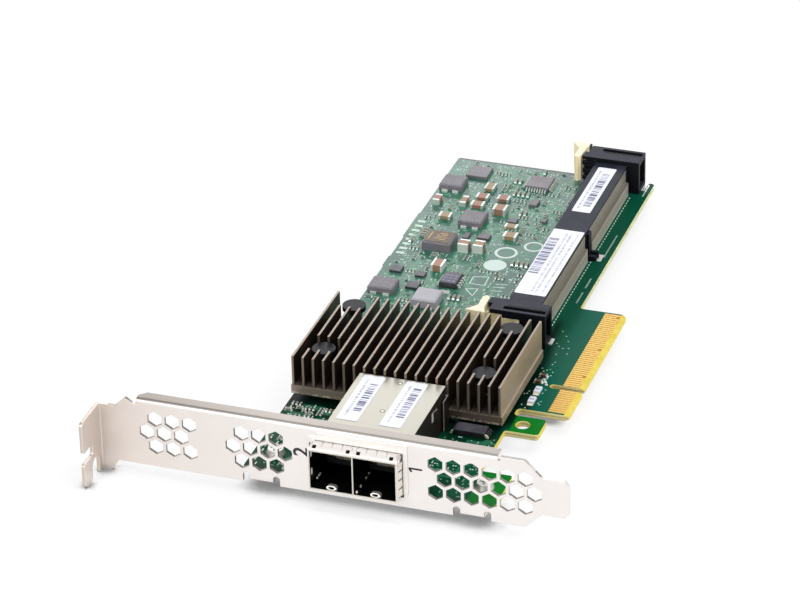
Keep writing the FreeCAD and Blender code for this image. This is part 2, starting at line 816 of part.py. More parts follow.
def leads(x0, x1, y0, y1, count, pitch, width, top, foot, all_round):
    rows = []
    for i in range(count):
        shift = (i - (count - 1) / 2) * pitch
        y = (y0 + y1) / 2 + shift
        for u, out in ((x0, -1), (x1, 1)):
            rows.append(prism(gull(u, out, top, foot), y - width / 2, y + width / 2, "y"))
        if all_round:
            x = (x0 + x1) / 2 + shift
            for u, out in ((y0, -1), (y1, 1)):
                rows.append(prism(gull(u, out, top, foot), x - width / 2, x + width / 2, "x"))
    return group(rows)


# ---- assemble

def build():
    key_short = (lead_fingers + 5, lead_fingers + 19, lead_fingers + 36)
    keep("circuit_board", circuit_board())
    keep("edge_contacts_top", edge_contacts(0, finger_skin, key_short))
    keep("edge_contacts_bottom", edge_contacts(-board_thickness - finger_skin, -board_thickness, ()))
    keep("bracket", bracket())
    keep("bracket_screws", bracket_screws())
    keep("port_cage", port_cage())
    keep("cage_floor", cage_floor())
    keep("cage_divider", cage_divider())
    keep("cage_rear_cover", cage_rear_cover())
    keep("finger_collar", finger_collar())
    keep("port_connectors", port_connectors())
    keep("port_contacts", port_contacts())
    for side, start in (("left", cage_left + 1.5), ("right", cage_left + 12.5)):
        keep("cage_label_" + side, label(start, start + 5.5, cage_rear - 21.8, cage_rear - 0.3, cage_height))
    substrate_top = chip_substrate
    lid_top = sink_seat - 0.2
    keep("controller_substrate", square(chip_side, 0, substrate_top, 0))
    keep("controller_lid", square(chip_lid_side, substrate_top, lid_top, 1.0))
    keep("thermal_pad", square(chip_lid_side - 1.0, lid_top, sink_seat, 0))
    keep("heatsink", heatsink())
    keep("push_pins", push_pins())
    keep("pin_springs", pin_springs())
    keep("socket_body", socket_body())
    keep("socket_end_front", socket_end(socket_front, -1, end_depth_front))
    keep("socket_end_rear", socket_end(socket_rear, 1, end_depth_rear))
    keep("socket_tails_front", tail_row(socket_front + 1.4, rib_start - 0.6))
    keep("socket_tails_rear", tail_row(rib_end + 0.6, socket_rear - 1.4))
    keep("slot_contacts", slot_contacts())
    keep("socket_peg", socket_peg())
    keep("latch_front", latch(socket_front - pivot_inset, 1))
    keep("latch_rear", latch(socket_rear + pivot_inset, -1))
    front_label = (socket_left + 0.1, socket_right - 0.3, socket_front + 6.1, socket_front + 41.8)
    rear_label = (socket_left + 1.6, socket_right - 2.1, socket_rear - 28.8, socket_rear - 2.8)
    keep("socket_label_front", label(*front_label, socket_top))
    keep("socket_label_rear", label(*rear_label, socket_top))
    keep("chokes", inductors())
    keep("choke_terminals", inductor_terminals())
    keep("power_choke", block(6.9, 14.7, 117.6, 124.7, 2.5, 0.25))
    keep("power_choke_plate", box(7.4, 14.2, 118.1, 124.2, 2.5, 2.6))
    keep("capacitors_brown", group(capacitors(WIDE_CAPS, True, False) + capacitors(TALL_CAPS, False, False)))
    keep("capacitors_olive", group(capacitors(OLIVE_CAPS, True, False)))
    caps = capacitors(WIDE_CAPS + OLIVE_CAPS, True, True) + capacitors(TALL_CAPS, False, True)
    keep("capacitor_terminals", group(caps))
    keep("logic_chip", block(23.1, 29.7, 158.0, 164.5, 1.2, 0.15, 0.1))
    keep("logic_chip_leads", leads(23.1, 29.7, 158.0, 164.5, 8, 0.75, 0.35, 0.75, 1.2, True))
    keep("power_chip", block(5.5, 11.5, 160.0, 166.0, 0.9, 0.1))
    keep("regulator", block(17.7, 22.4, 99.4, 105.4, 1.7, 0.2, 0.1))
    keep("regulator_leads", leads(17.7, 22.4, 99.4, 105.4, 4, 1.27, 0.45, 0.9, 1.0, False))
    keep("flat_packages", group([block(a, b, c, d, h, 0.1) for a, b, c, d, h in FLAT_PACKAGES]))
    memory = (cage_right + 3.0, cage_right + 11.0, sink_front - 4.2, sink_front - 0.5)
    keep("memory_chip", block(*memory, 1.5, 0.2, 0.1))
    keep("memory_chip_leads", leads(*memory, 4, 1.0, 0.42, 0.9, 1.0, False))
    by_fingers = board_depth - finger_inner - filter_offset
    middles = (key_station - filter_first, key_station - filter_first + filter_pitch)
    keep("filter_blocks", group([
        block(by_fingers, by_fingers + filter_width, y - filter_length / 2, y + filter_length / 2, filter_height, 0.1)
        for y in middles]))


def seat(shape):
    placed = shape.copy()
    placed.translate(V(-board_depth, -key_station, board_thickness / 2))
    return placed


build()
os.makedirs("parts", exist_ok=True)
for name, shape in pieces.items():
    seat(shape).exportStep("parts/" + name + ".step")
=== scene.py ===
"""Looks of the expansion card: finishes for its solids, its smallest parts, print, light and camera."""
import math

import bpy
import numpy as np
from mathutils import Matrix, Vector


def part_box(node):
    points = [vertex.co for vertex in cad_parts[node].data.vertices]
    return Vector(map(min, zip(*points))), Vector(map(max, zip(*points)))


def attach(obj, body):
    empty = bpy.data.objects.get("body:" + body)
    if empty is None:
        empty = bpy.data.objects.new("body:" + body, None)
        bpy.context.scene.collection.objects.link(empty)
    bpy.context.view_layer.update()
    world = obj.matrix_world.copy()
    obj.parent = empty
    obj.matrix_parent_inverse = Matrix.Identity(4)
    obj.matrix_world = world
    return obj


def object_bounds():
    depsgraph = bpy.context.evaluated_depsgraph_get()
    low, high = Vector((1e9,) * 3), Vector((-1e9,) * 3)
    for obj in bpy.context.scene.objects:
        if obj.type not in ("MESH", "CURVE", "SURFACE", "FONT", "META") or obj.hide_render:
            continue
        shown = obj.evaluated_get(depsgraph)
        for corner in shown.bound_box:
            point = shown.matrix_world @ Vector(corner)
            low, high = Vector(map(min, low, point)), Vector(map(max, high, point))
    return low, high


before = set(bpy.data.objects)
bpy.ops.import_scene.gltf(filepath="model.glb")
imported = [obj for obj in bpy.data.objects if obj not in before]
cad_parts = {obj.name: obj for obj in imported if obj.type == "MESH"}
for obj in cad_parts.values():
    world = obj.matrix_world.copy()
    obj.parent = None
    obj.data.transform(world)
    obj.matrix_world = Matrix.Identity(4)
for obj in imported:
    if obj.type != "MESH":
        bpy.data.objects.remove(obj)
cad_box = [list(corner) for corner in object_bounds()]
MM = 0.001
X, Y, Z = range(3)
BOARD_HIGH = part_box("circuit_board")[1]
# Stations: millimetres from the board's left edge, the bracket's front face and the board's top.
BOARD_RIGHT, BOARD_REAR = 68.9, 170.75
START = np.array([BOARD_HIGH.x - BOARD_RIGHT * MM, BOARD_HIGH.y - BOARD_REAR * MM, BOARD_HIGH.z])


def station(points):
    """Start corner plus a thousandth of the stations, so millimetres on the card become metres."""
    return START + np.asarray(points, float) * MM


def box_of(node):
    """Low and high corner of a solid's box, in stations."""
    return [(np.array(corner) - START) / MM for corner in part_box(node)]


def tone(red, green, blue):
    """Screen levels 0 to 255 made linear: each level's share, raised by the screen's curve."""
    share = np.array([red, green, blue]) / 255
    linear = np.where(share <= 0.04045, share / 12.92, ((share + 0.055) / 1.055) ** 2.4)
    return (*linear.tolist(), 1.0)


# ---- shader nodes, each made and joined by one call

MIX_INPUTS, MIX_COLOUR = (0, 6, 7), 2


def join(value, socket):
    """Puts a number or a colour on a socket, or links an output to it; None leaves the socket alone.
    Three numbers are a colour's screen levels."""
    if isinstance(value, bpy.types.NodeSocket):
        socket.id_data.links.new(value, socket)
    elif isinstance(value, tuple) and len(value) == 3:
        socket.default_value = tone(*value)
    elif value is not None:
        socket.default_value = value


def feed(sockets, *values):
    """Joins values to sockets in order."""
    for socket, value in zip(sockets, values):
        join(value, socket)


def fill(node, **values):
    """Joins a node's inputs by name; underscores in a name stand for spaces."""
    feed([node.inputs[name.replace("_", " ")] for name in values], *values.values())
    return node


def put(tree, kind, **values):
    """A new node of a kind with its inputs joined."""
    return fill(tree.nodes.new("ShaderNode" + kind), **values)


def place(tree, group, **values):
    """A node group put in a material with its inputs joined; gives its outputs."""
    node = put(tree, "Group")
    node.node_tree = group
    return fill(node, **values).outputs


def math_node(kind, *values):
    """One Math node beside the nodes whose outputs it takes; its other values are numbers."""
    tree = next(value.id_data for value in values if isinstance(value, bpy.types.NodeSocket))
    node = put(tree, "Math")
    node.operation = kind
    feed(node.inputs, *values)
    return node.outputs[0]


def times(*values):
    """Product of two or more values."""
    product = values[0]
    for value in values[1:]:
        product = math_node("MULTIPLY", product, value)
    return product


def plus(first, second):
    """Sum of two values."""
    return math_node("ADD", first, second)


def larger(first, second):
    """The larger of two values."""
    return math_node("MAXIMUM", first, second)


def rest(share):
    """One less a share."""
    return math_node("SUBTRACT", 1.0, share)


def here(tree):
    """Object coordinates, the place on the card in metres."""
    return put(tree, "TexCoord").outputs["Object"]


def part_of(vector, axis):
    """A vector's part along an axis."""
    return put(vector.id_data, "SeparateXYZ", Vector=vector).outputs[axis]


def noise(tree, scale, detail=3.0):
    """Noise value over Object coordinates."""
    return put(tree, "TexNoise", Vector=here(tree), Scale=scale, Detail=detail).outputs[0]


def blend(share, first, second):
    """Colour between two colours by a share."""
    node = put(share.id_data, "Mix")
    node.data_type = "RGBA"
    feed([node.inputs[place] for place in MIX_INPUTS], share, first, second)
    return node.outputs[MIX_COLOUR]


def over(colour, *layers):
    """A colour with others laid over it in turn, each given as its share and itself."""
    for share, laid in layers:
        colour = blend(share, colour, laid)
    return colour


def spread(value, low, high, out_low=0.0, out_high=1.0):
    """Value mapped from one range to another and held at its ends."""
    node = put(value.id_data, "MapRange")
    feed(node.inputs, value, low, high, out_low, out_high)
    return node.outputs[0]


def facing(tree, axis, low=0.5, high=0.9):
    """Share from 0 to 1 as the face's normal goes from low to high along an axis."""
    return spread(part_of(put(tree, "NewGeometry").outputs["True Normal"], axis), low, high)


def along(tree, axis, first, last):
    """Share from 0 at a first station to 1 at a last one along an axis; it falls where the last is lower."""
    return spread(part_of(here(tree), axis), START[axis] + first * MM, START[axis] + last * MM)


def leaning(tree, lean, first, last):
    """Share from 0 to 1 as the station across plus a lean times the one along goes from first to last."""
    value = plus(part_of(here(tree), X), times(part_of(here(tree), Y), lean))
    start = START[X] + lean * START[Y]
    return spread(value, start + first * MM, start + last * MM)


def inside(tree, axis, low, high, soft=0.05):
    """1 between two stations, 0 outside, with a soft step at each."""
    rise = along(tree, axis, low - soft, low + soft)
    return math_node("SUBTRACT", rise, along(tree, axis, high - soft, high + soft))


def within(tree, across, deep):
    """1 on a rectangle of the card seen from above, 0 outside, from two spans as inside takes them."""
    return times(inside(tree, X, *across), inside(tree, Y, *deep))


# ---- shared effects

WIDE_GRAIN = 0.06
COLOUR_SWING, ROUGH_SWING = 2.0, 1.2
DUST_TONE = (205, 200, 190)
BUMP_HEIGHT = 0.05 * MM


def effect(name, given, made):
    """An empty node group, the outputs of its start node and its end node; sockets are name: kind."""
    group = bpy.data.node_groups.new(name, "ShaderNodeTree")
    for direction, wanted in (("INPUT", given), ("OUTPUT", made)):
        for label, kind in wanted.items():
            group.interface.new_socket(label, in_out=direction, socket_type="NodeSocket" + kind)
    return group, group.nodes.new("NodeGroupInput").outputs, group.nodes.new("NodeGroupOutput")


def grain_effect():
    """Fine surface grain: noise moves the colour's value and the roughness a little either way."""
    group, given, made = effect(
        "surface_grain", {"Colour": "Color", "Roughness": "Float", "Scale": "Float", "Depth": "Float"},
        {"Colour": "Color", "Roughness": "Float", "Height": "Float"})
    fine = noise(group, given["Scale"])
    wide = noise(group, times(given["Scale"], WIDE_GRAIN), 2.0)
    both = plus(times(fine, 0.5), times(wide, 0.5))
    swing = times(math_node("SUBTRACT", both, 0.5), given["Depth"])
    shade = put(group, "HueSaturation", Value=plus(times(swing, COLOUR_SWING), 1.0), Color=given["Colour"])
    rough = plus(given["Roughness"], times(swing, ROUGH_SWING))
    fill(made, Colour=shade.outputs[0], Roughness=rough, Height=fine)
    return group


def dust_effect():
    """Pale dust on faces that look up: the normal's upward part times patchy noise times an amount."""
    group, given, made = effect("settled_dust", {"Colour": "Color", "Amount": "Float"}, {"Colour": "Color"})
    upward = spread(part_of(put(group, "NewGeometry").outputs["Normal"], Z), 0.3, 1.0)
    patches = spread(noise(group, 260.0, 5.0), 0.45, 0.75)
    share = times(upward, patches, given["Amount"])
    fill(made, Colour=blend(share, given["Colour"], DUST_TONE))
    return group


def edge_shading_effect():
    """Painted light and shade along edges, mostly a lighter painted highlight: the edge colour where a
    rounded normal leaves the true one, by an amount.
    """
    group, given, made = effect(
        "painted_edge_shading", {"Colour": "Color", "Edge Colour": "Color", "Width": "Float", "Amount": "Float"},
        {"Colour": "Color", "Normal": "Vector"})
    rounded = put(group, "Bevel", Radius=given["Width"])
    rounded.samples = 4
    dot = put(group, "VectorMath")
    dot.operation = "DOT_PRODUCT"
    feed(dot.inputs, rounded.outputs[0], put(group, "NewGeometry").outputs["True Normal"])
    share = times(spread(dot.outputs["Value"], 0.98, 0.8), given["Amount"])
    fill(made, Colour=blend(share, given["Colour"], given["Edge Colour"]), Normal=rounded.outputs[0])
    return group


GRAIN = grain_effect()
DUST = dust_effect()
EDGE_SHADING = edge_shading_effect()


def finish(name, colour, rough, metal=0.0, scale=900.0, depth=0.12, bump=0.0, edge=None, width=0.15,
           edge_share=0.5, dust=0.0, coat=0.0, coat_rough=0.2, specular=0.5):
    """A Principled material: colour, painted edge light and shade, dust and grain, in that order. A colour
    or coat that is a function is worked out over the surface."""
    made = bpy.data.materials.new(name)
    made.use_nodes = True
    tree = made.node_tree
    value = colour(tree) if callable(colour) else colour
    normal = None
    # The edge colour is painted light and shade along the edges, mostly a painted highlight.
    if edge is not None:
        edge_shaded = place(tree, EDGE_SHADING, Colour=value, Edge_Colour=edge, Width=width * MM, Amount=edge_share)
        value, normal = edge_shaded["Colour"], edge_shaded["Normal"]
    if dust:
        value = place(tree, DUST, Colour=value, Amount=dust)["Colour"]
    grain = place(tree, GRAIN, Colour=value, Roughness=rough, Scale=scale, Depth=depth)
    if bump:
        raised = put(tree, "Bump", Strength=bump, Distance=BUMP_HEIGHT, Height=grain["Height"], Normal=normal)
        normal = raised.outputs[0]
    fill(tree.nodes["Principled BSDF"], Base_Color=grain["Colour"], Roughness=grain["Roughness"],
         Normal=normal, Metallic=metal, Coat_Weight=coat(tree) if callable(coat) else coat,
         Coat_Roughness=coat_rough, Specular_IOR_Level=specular)
    return made


# ---- paints, each a colour worked out over the surface

def board_paint(tree):
    """Green mask in square-edged patches of two depths, paler behind the heatsink and left of the socket
    as a painted reflection of the pale surroundings, with painted shade beside and behind the heatsink
    and by the rear latch, brighter on the front ears, with bare gold between the contact pads and a
    painted shade line along the rear edge. Past the pads and on the cut edges the laminate is bare:
    layered in front, golden on the sides and greyer towards the rear."""
    cells = put(tree, "TexVoronoi", Vector=here(tree), Scale=120.0)
    cells.distance = "CHEBYCHEV"
    patch = spread(cells.outputs["Color"], 0.4, 0.45)
    near = blend(patch, (0, 62, 40), (6, 76, 52))
    # Paler far greens: painted reflection of the pale surroundings over the board's rear.
    far = blend(patch, (48, 92, 78), (62, 106, 90))
    tongue = (0, 82, 64)
    # Right of the socket: a darker green, painted reflection of the dark socket.
    right = times(along(tree, X, 50.4, 51.4), along(tree, Y, 60.0, 88.0))
    fingers = times(along(tree, X, 56.4, 58.4), inside(tree, Y, 46.9, 99.1))
    # Painted shade beside the heatsink.
    beside = times(leaning(tree, 0.11, 65.2, 63.0), along(tree, X, 52.0, 53.0),
                   inside(tree, Y, 38.0, 92.0, 2.0), 0.9)
    # Painted shade under and behind the heatsink.
    fore = times(along(tree, X, 56.5, 54.0), inside(tree, Y, 28.5, 66.0, 3.0), 0.88)
    # Painted shade on the board by the rear latch.
    clear = times(within(tree, (34.6, 38.4, 0.15), (165.2, 169.4, 0.3)), 0.8)
    ears = times(along(tree, X, 56.3, 57.0), inside(tree, Y, 0.0, 46.4))
    gaps = times(along(tree, X, 63.2, 63.3), inside(tree, Y, 47.6, 98.6))
    mask = over(near, (along(tree, X, 55.0, 59.0), tongue), (along(tree, Y, 62.0, 76.0), far),
                (right, (2, 70, 50)), (fingers, tongue), (beside, (0, 26, 16)),
                (fore, (0, 14, 9)), (clear, (8, 66, 34)), (ears, (4, 110, 30)), (gaps, (176, 122, 48)))
    cut = spread(noise(tree, 500.0), 0.3, 0.7)
    plies = put(tree, "TexWave", Vector=here(tree), Scale=400.0, Distortion=1.5)
    plies.bands_direction = "Z"
    ahead = over((156, 142, 88), (plies.outputs["Fac"], (196, 188, 138)),
                 (along(tree, Z, -0.3, -0.1), (222, 222, 150)))
    golden = blend(cut, (198, 178, 72), (214, 196, 92))
    greyer = blend(cut, (176, 176, 128), (200, 200, 156))
    laminate = over(golden, (facing(tree, Y, -0.4, -0.9), ahead), (along(tree, Y, 98.0, 104.0), greyer))
    # The dark line along the rear edge is painted shade.
    top = over(mask, (along(tree, X, 67.5, 67.55), laminate), (along(tree, Y, 169.95, 170.0), (24, 30, 28)))
    return blend(plus(facing(tree, Z, 0.8), facing(tree, Z, -0.8, -0.9)), laminate, top)


def board_sheen(tree):
    """Gloss of the mask: full at the left rear, none at the right and the front."""
    return times(along(tree, X, 50.0, 36.0), along(tree, Y, 60.0, 100.0), 0.54)


def sink_paint(tree):
    """Dark bronze with painted light: lighter on the fins' upper edges and fronts, on the base's front,
    which grades darker to the right, on the outer right wall, on the ledge below it and on the first
    stretch of the channels' floors; the base's front has a pale burr."""
    up = facing(tree, Z, 0.4)
    front = facing(tree, Y, -0.4, -0.9)
    floor = times(up, inside(tree, Z, 3.9, 4.3))
    burr = times(along(tree, Z, 2.6, 2.2), spread(noise(tree, 1500.0, 2.0), 0.42, 0.56, 0.0, 0.9))
    base = over((146, 132, 122), (along(tree, X, 8.0, 42.0), (112, 96, 86)), (burr, (214, 200, 184)))
    # Over the dark bronze: painted light on tops, fronts, right wall, ledge and near channel floors.
    return over((64, 52, 42), (times(up, along(tree, Z, 8.0, 9.0)), (142, 128, 115)),
                (front, (128, 114, 102)), (times(front, along(tree, Z, 4.1, 4.0)), base),
                (times(floor, along(tree, Y, 38.0, 35.0)), (150, 136, 124)),
                (times(facing(tree, X), along(tree, X, 54.0, 54.9)), (172, 154, 132)),
                (times(floor, along(tree, X, 55.0, 55.06)), (214, 200, 180)))


def tail_paint(tree):
    """Grey-beige strips, paler below, with a brass line on top, thin brown lines of painted shadow under
    the bends and a bright foot at the board."""
    strip = blend(along(tree, Z, 3.6, 3.8), (200, 194, 180), (158, 154, 142))
    # The three brown lines are painted shadow under the bends.
    lines = ((7.35, 7.6, (186, 164, 132)), (4.7, 4.85, (104, 86, 70)), (4.3, 4.5, (186, 176, 158)),
             (3.8, 3.92, (132, 106, 84)), (2.3, 2.42, (150, 134, 116)), (-0.2, 0.6, (228, 224, 214)))
    return over(strip, *((inside(tree, Z, low, high), colour) for low, high, colour in lines))


def cage_paint(tree):
    """Warm grey plate with painted shade: its top a little darker than its sides, and near black inside
    the two port mouths and on the outer right wall. The keying loops, the plate's front edges and the
    lanced side springs stay bright."""
    loops = times(inside(tree, Y, -2.6, -1.45), inside(tree, Z, 0.36, 1.5),
                  plus(inside(tree, X, 22.9, 26.0), inside(tree, X, 34.0, 37.1)))
    # Painted shade inside the port mouths, sparing the keying loops.
    mouth = times(within(tree, (19.15, 40.85), (-2.9, 34.4)), along(tree, Z, 10.68, 10.64), rest(loops))
    right = facing(tree, X)
    spring = times(within(tree, (41.08, 41.75, 0.02), (23.6, 24.6)), inside(tree, Z, 6.6, 9.2))
    # Painted shade on the outer right wall and its flap, sparing the lanced spring.
    wall = times(right, inside(tree, X, 40.95, 41.68, 0.02), along(tree, Y, 0.4, 0.8), rest(spring))
    flap = times(right, along(tree, X, 41.70, 41.72))
    # The top's darker tone is painted shade.
    return over((210, 206, 194), (facing(tree, Z), (188, 184, 172)), (wall, (40, 33, 29)),
                (flap, (46, 38, 33)), (mouth, (12, 10, 9)))


def bracket_paint(tree):
    """Bright nickel face with painted shade: the face greys a little to the left, the flange's top is a
    darker warm grey, and the walls in the holes and the mount tab are darker and browner."""
    # Painted shade: the face greys to the left and the flange's top is darker.
    left = along(tree, X, 12.0, -34.0)
    face = blend(left, (236, 231, 227), (224, 213, 205))
    top = blend(left, (176, 168, 161), (140, 129, 122))
    flange = times(facing(tree, Z), along(tree, Z, 14.0, 15.0))
    flat = plus(facing(tree, Y, -0.4, -0.9), facing(tree, Y, 0.4))
    # Painted shade on the walls in the holes and on the mount tab.
    holes = times(rest(flat), within(tree, (-34.0, 76.0), (0.06, 0.8)), inside(tree, Z, -3.6, 13.0), 0.8)
    tab = times(along(tree, X, -36.0, -36.9), 0.9)
    return over(face, (flange, top), (holes, (150, 138, 128)), (tab, (190, 177, 161)))


def painted_glare(tree, colour, share):
    """A colour mixed towards a grey green, a painted pale glare, by a share that grows from the middle
    of the card to its rear.
    """
    return blend(times(along(tree, Y, 84.0, 140.0), share), colour, (126, 146, 136))


def chip_paint(tree):
    """Black epoxy, near black on the sides, with painted reflection that turns the top blue and the
    rear paler.
    """
    return over((22, 22, 28), (facing(tree, Z), (50, 50, 62)), (along(tree, Y, 90.0, 158.0), (112, 108, 112)))


def resistor_paint(tree):
    """Dark glaze with a painted pale glare towards the rear."""
    return painted_glare(tree, (58, 66, 66), 0.5)


def fading(first, last, near, far):
    """A paint that goes from a near colour to a far one between two stations along the card."""
    return lambda tree: blend(along(tree, Y, first, last), near, far)


def socket_paint(tree):
    """Slate on top, near black on the sides: the top painted lighter as painted light."""
    return blend(facing(tree, Z), (14, 15, 19), (29, 32, 46))


def latch_paint(tree):
    """Ivory, warmer on the sides, the top painted a darker cream as painted shade; the part of the rear
    lever inside its housing is painted dark as shade.
    """
    # Painted shade on the lever inside its housing.
    held = times(along(tree, Y, 160.0, 161.0), along(tree, X, 37.7, 37.9))
    return over((252, 236, 192), (facing(tree, Z), (222, 214, 190)), (held, (18, 18, 24)))


def choke_paint(tree):
    """Grey pressed-iron body with paler speckle; the foremost choke is the palest."""
    front = times(within(tree, (13.5, 21.0), (87.0, 94.6)), 0.5)
    return over((104, 100, 106), (spread(noise(tree, 4200.0, 1.0), 0.52, 0.7, 0.0, 0.6), (160, 156, 160)),
                (front, (196, 196, 202)))


def small_ceramic_paint(tree):
    """Tan, grey and sand by turns, one colour to each small part, with a painted pale glare towards the rear.
    """
    mixed = over((160, 122, 102), (spread(noise(tree, 420.0, 0.0), 0.44, 0.5), (140, 132, 116)),
                 (spread(noise(tree, 300.0, 0.0), 0.5, 0.56), (118, 128, 118)))
    return painted_glare(tree, mixed, 0.45)


def ceramic_paint(tree):
    """Brown ceramic that varies from part to part by its place on the board."""
    share = spread(noise(tree, 130.0, 0.0), 0.35, 0.65)
    return blend(share, (150, 104, 92), (150, 118, 90))


# ---- finishes

# Edge colours lighter than the body are painted edge highlights.
FINISHES = {
    "solder_mask": finish("green_mask", board_paint, 0.45, scale=1500, depth=0.16, coat=board_sheen,
                          coat_rough=0.24, specular=0.06),
    "contact_gold": finish("hard_gold", (222, 186, 98), 0.42, metal=0.75, depth=0.1),
    "bracket_steel": finish("nickel_plate", bracket_paint, 0.4, metal=0.75, scale=2400, depth=0.06, bump=0.05,
                            edge=(250, 247, 242), width=0.2),
    "cage_steel": finish("cage_plate", cage_paint, 0.42, metal=0.7, scale=1800, depth=0.08,
                         edge=(240, 236, 230), width=0.1, edge_share=0.3),
    "spring_steel": finish("spring_wire", (70, 64, 58), 0.35, metal=0.9),
    "tin": finish("tinned_metal", (206, 204, 198), 0.34, metal=0.8, depth=0.2),
    "sink_aluminium": finish("bronze_aluminium", sink_paint, 0.36, metal=0.7, scale=2600, depth=0.12,
                             edge=(156, 142, 129), width=0.14, edge_share=0.6),
    "connector_black": finish("port_black", (5, 5, 6), 0.6, bump=0.1, specular=0.2),
    "socket_black": finish("socket_slate", socket_paint, 0.5, scale=2200, bump=0.1, edge=(60, 64, 78),
                           dust=0.02, specular=0.15),
    "latch_cream": finish("latch_ivory", latch_paint, 0.5, bump=0.05, specular=0.3),
    "chip_black": finish("chip_epoxy", chip_paint, 0.48, scale=3000, bump=0.15, edge=(100, 100, 116),
                         dust=0.1),
    "chip_substrate": finish("chip_laminate", (30, 84, 58), 0.45),
    "lid_metal": finish("chip_lid", (180, 178, 176), 0.35, metal=0.9),
    "pad_grey": finish("thermal_grey", (120, 120, 122), 0.8),
    "pin_plastic": finish("pin_nylon", (15, 17, 23), 0.5, bump=0.1, edge=(44, 46, 52), specular=0.22),
    "ferrite": finish("pressed_iron", choke_paint, 0.55, scale=2600, bump=0.2, edge=(140, 136, 142),
                      dust=0.1),
    "plate_brown": finish("choke_plate", (70, 52, 30), 0.35, metal=0.5, depth=0.6),
    "ceramic_brown": finish("ceramic_tan", ceramic_paint, 0.5, edge=(176, 146, 128)),
    "ceramic_olive": finish("ceramic_sand", (148, 128, 96), 0.5, edge=(190, 176, 148)),
    "resistor_white": finish("resistor_glaze_white", (214, 220, 236), 0.4, edge=(236, 238, 244)),
    "label_paper": finish("label_white", (222, 223, 232), 0.6, depth=0.03),
}
TAILS = finish("tail_strips", tail_paint, 0.4, metal=0.4, scale=3000, depth=0.1)
# The collar's brown edge colour is painted shade along its lip and edges.
COLLAR = finish("collar_plate", (238, 232, 227), 0.36, metal=0.55, edge=(128, 96, 74), width=0.1, edge_share=0.8)
INK = finish("print_black", (34, 34, 40), 0.6)
BAR_INK = finish("bar_ink", (96, 98, 124), 0.6)
SILK = finish("board_print", (200, 216, 208), 0.6)
MARK = finish("package_print", (124, 130, 156), 0.6)
GOLD_MARK = finish("plate_print", (196, 164, 104), 0.4, metal=0.4)
TRACE = finish("covered_trace", (44, 124, 90), 0.4, coat=0.2)
SOLDER = finish("bright_solder", (236, 236, 232), 0.3, metal=0.5, depth=0.15)
TERMINAL = finish("tinned_ends", fading(108.0, 150.0, (228, 230, 226), (184, 196, 188)), 0.4,
                  metal=0.4, depth=0.15)
VIA = finish("plated_via", (150, 184, 160), 0.4, metal=0.3)
PAD = finish("pale_pad", fading(34.0, 36.0, (226, 234, 228), (176, 198, 182)), 0.45, metal=0.15)
CAP_END = finish("capacitor_end", fading(34.0, 60.0, (206, 210, 202), (150, 166, 154)), 0.45, metal=0.2)
DARK_LEAD = finish("shaded_leads", fading(31.6, 31.7, (222, 214, 180), (60, 60, 62)), 0.4, metal=0.4)
DEEP_BROWN = finish("deep_brown_ceramic", (88, 50, 38), 0.4)
LID_SPOT = finish("lid_spot", (236, 232, 212), 0.4, metal=0.3)
LID_RIM = finish("lid_rim", (112, 106, 84), 0.5, metal=0.3)
# Dark brown for the collar's seams and rims, as painted shade.
SEAM_SHADE = finish("painted_seam_shade", (150, 118, 94), 0.5, metal=0.3)
SHADE = finish("slot_shade", (12, 14, 22), 0.6, specular=0.2)
GLINT = finish("mouth_glint", (245, 240, 232), 0.5)
TUNNEL = finish("hole_shade", (24, 18, 15), 0.8, specular=0.1)
TIPS = finish("contact_tips", (158, 148, 138), 0.5)
SMALL_CERAMIC = finish("small_ceramic", small_ceramic_paint, 0.5)
RESISTOR = finish("resistor_glaze", resistor_paint, 0.4)
NODE_FINISHES = {"socket_tails_front": TAILS, "socket_tails_rear": TAILS, "finger_collar": COLLAR,
                 "choke_terminals": SOLDER, "capacitor_terminals": TERMINAL, "logic_chip_leads": TERMINAL,
                 "memory_chip_leads": DARK_LEAD, "regulator_leads": TERMINAL}

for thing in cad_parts.values():
    for held in thing.material_slots:
        held.material = FINISHES[held.material.name]
for name, material in NODE_FINISHES.items():
    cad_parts[name].data.materials[0] = material


# ---- small shapes, each repeated many times

def circle(sides):
    """Corners of a level circle one across."""
    angle = np.arange(sides) * 2 * math.pi / sides
    return np.column_stack((np.cos(angle), np.sin(angle))) / 2


def stacked(outline, *rings):
    """A level outline once for each (width, level): its corners times the width, at the level."""
    return np.vstack([np.column_stack((outline * width, np.full(len(outline), level)))
                      for width, level in rings])


def joined(count, low, high):
    """Four-sided faces between two rings of corners, which start at low and at high."""
    return [(low + i, low + (i + 1) % count, high + (i + 1) % count, high + i) for i in range(count)]


def closed(points):
    """A shape from two rings of corners, one after the other: its two ends and its sides."""
    count = len(points) // 2
    return points, [tuple(range(count))[::-1], tuple(range(count, 2 * count)), *joined(count, 0, count)]


def block_shape(inset=0.12):
    """Unit block, one wide each way and one high, whose top rim is cut back by an inset: three
    square rings of corners, at the bottom, below the top and on the top."""
    square = np.array([(-1, -1), (1, -1), (1, 1), (-1, 1)]) / 2
    points = stacked(square, (1, 0), (1, 1 - inset), (1 - 2 * inset, 1))
    return points, [(3, 2, 1, 0), (8, 9, 10, 11), *joined(4, 0, 4), *joined(4, 4, 8)]


def disc_shape(sides=10, crown=0.8):
    """Unit disc, one across and one high: a ring of corners at the bottom and a smaller one on top."""
    return closed(stacked(circle(sides), (1, 0), (crown, 1)))


def band_shape(sides, share):
    """Unit ring, one across and one high, with a hole of a share of its width: four rings of corners,
    outer bottom, outer top, inner top and inner bottom, joined round."""
    points = stacked(circle(sides), (1, 0), (1, 1), (share, 1), (share, 0))
    return points, [face for ring in range(4) for face in joined(sides, ring * sides, (ring + 1) % 4 * sides)]


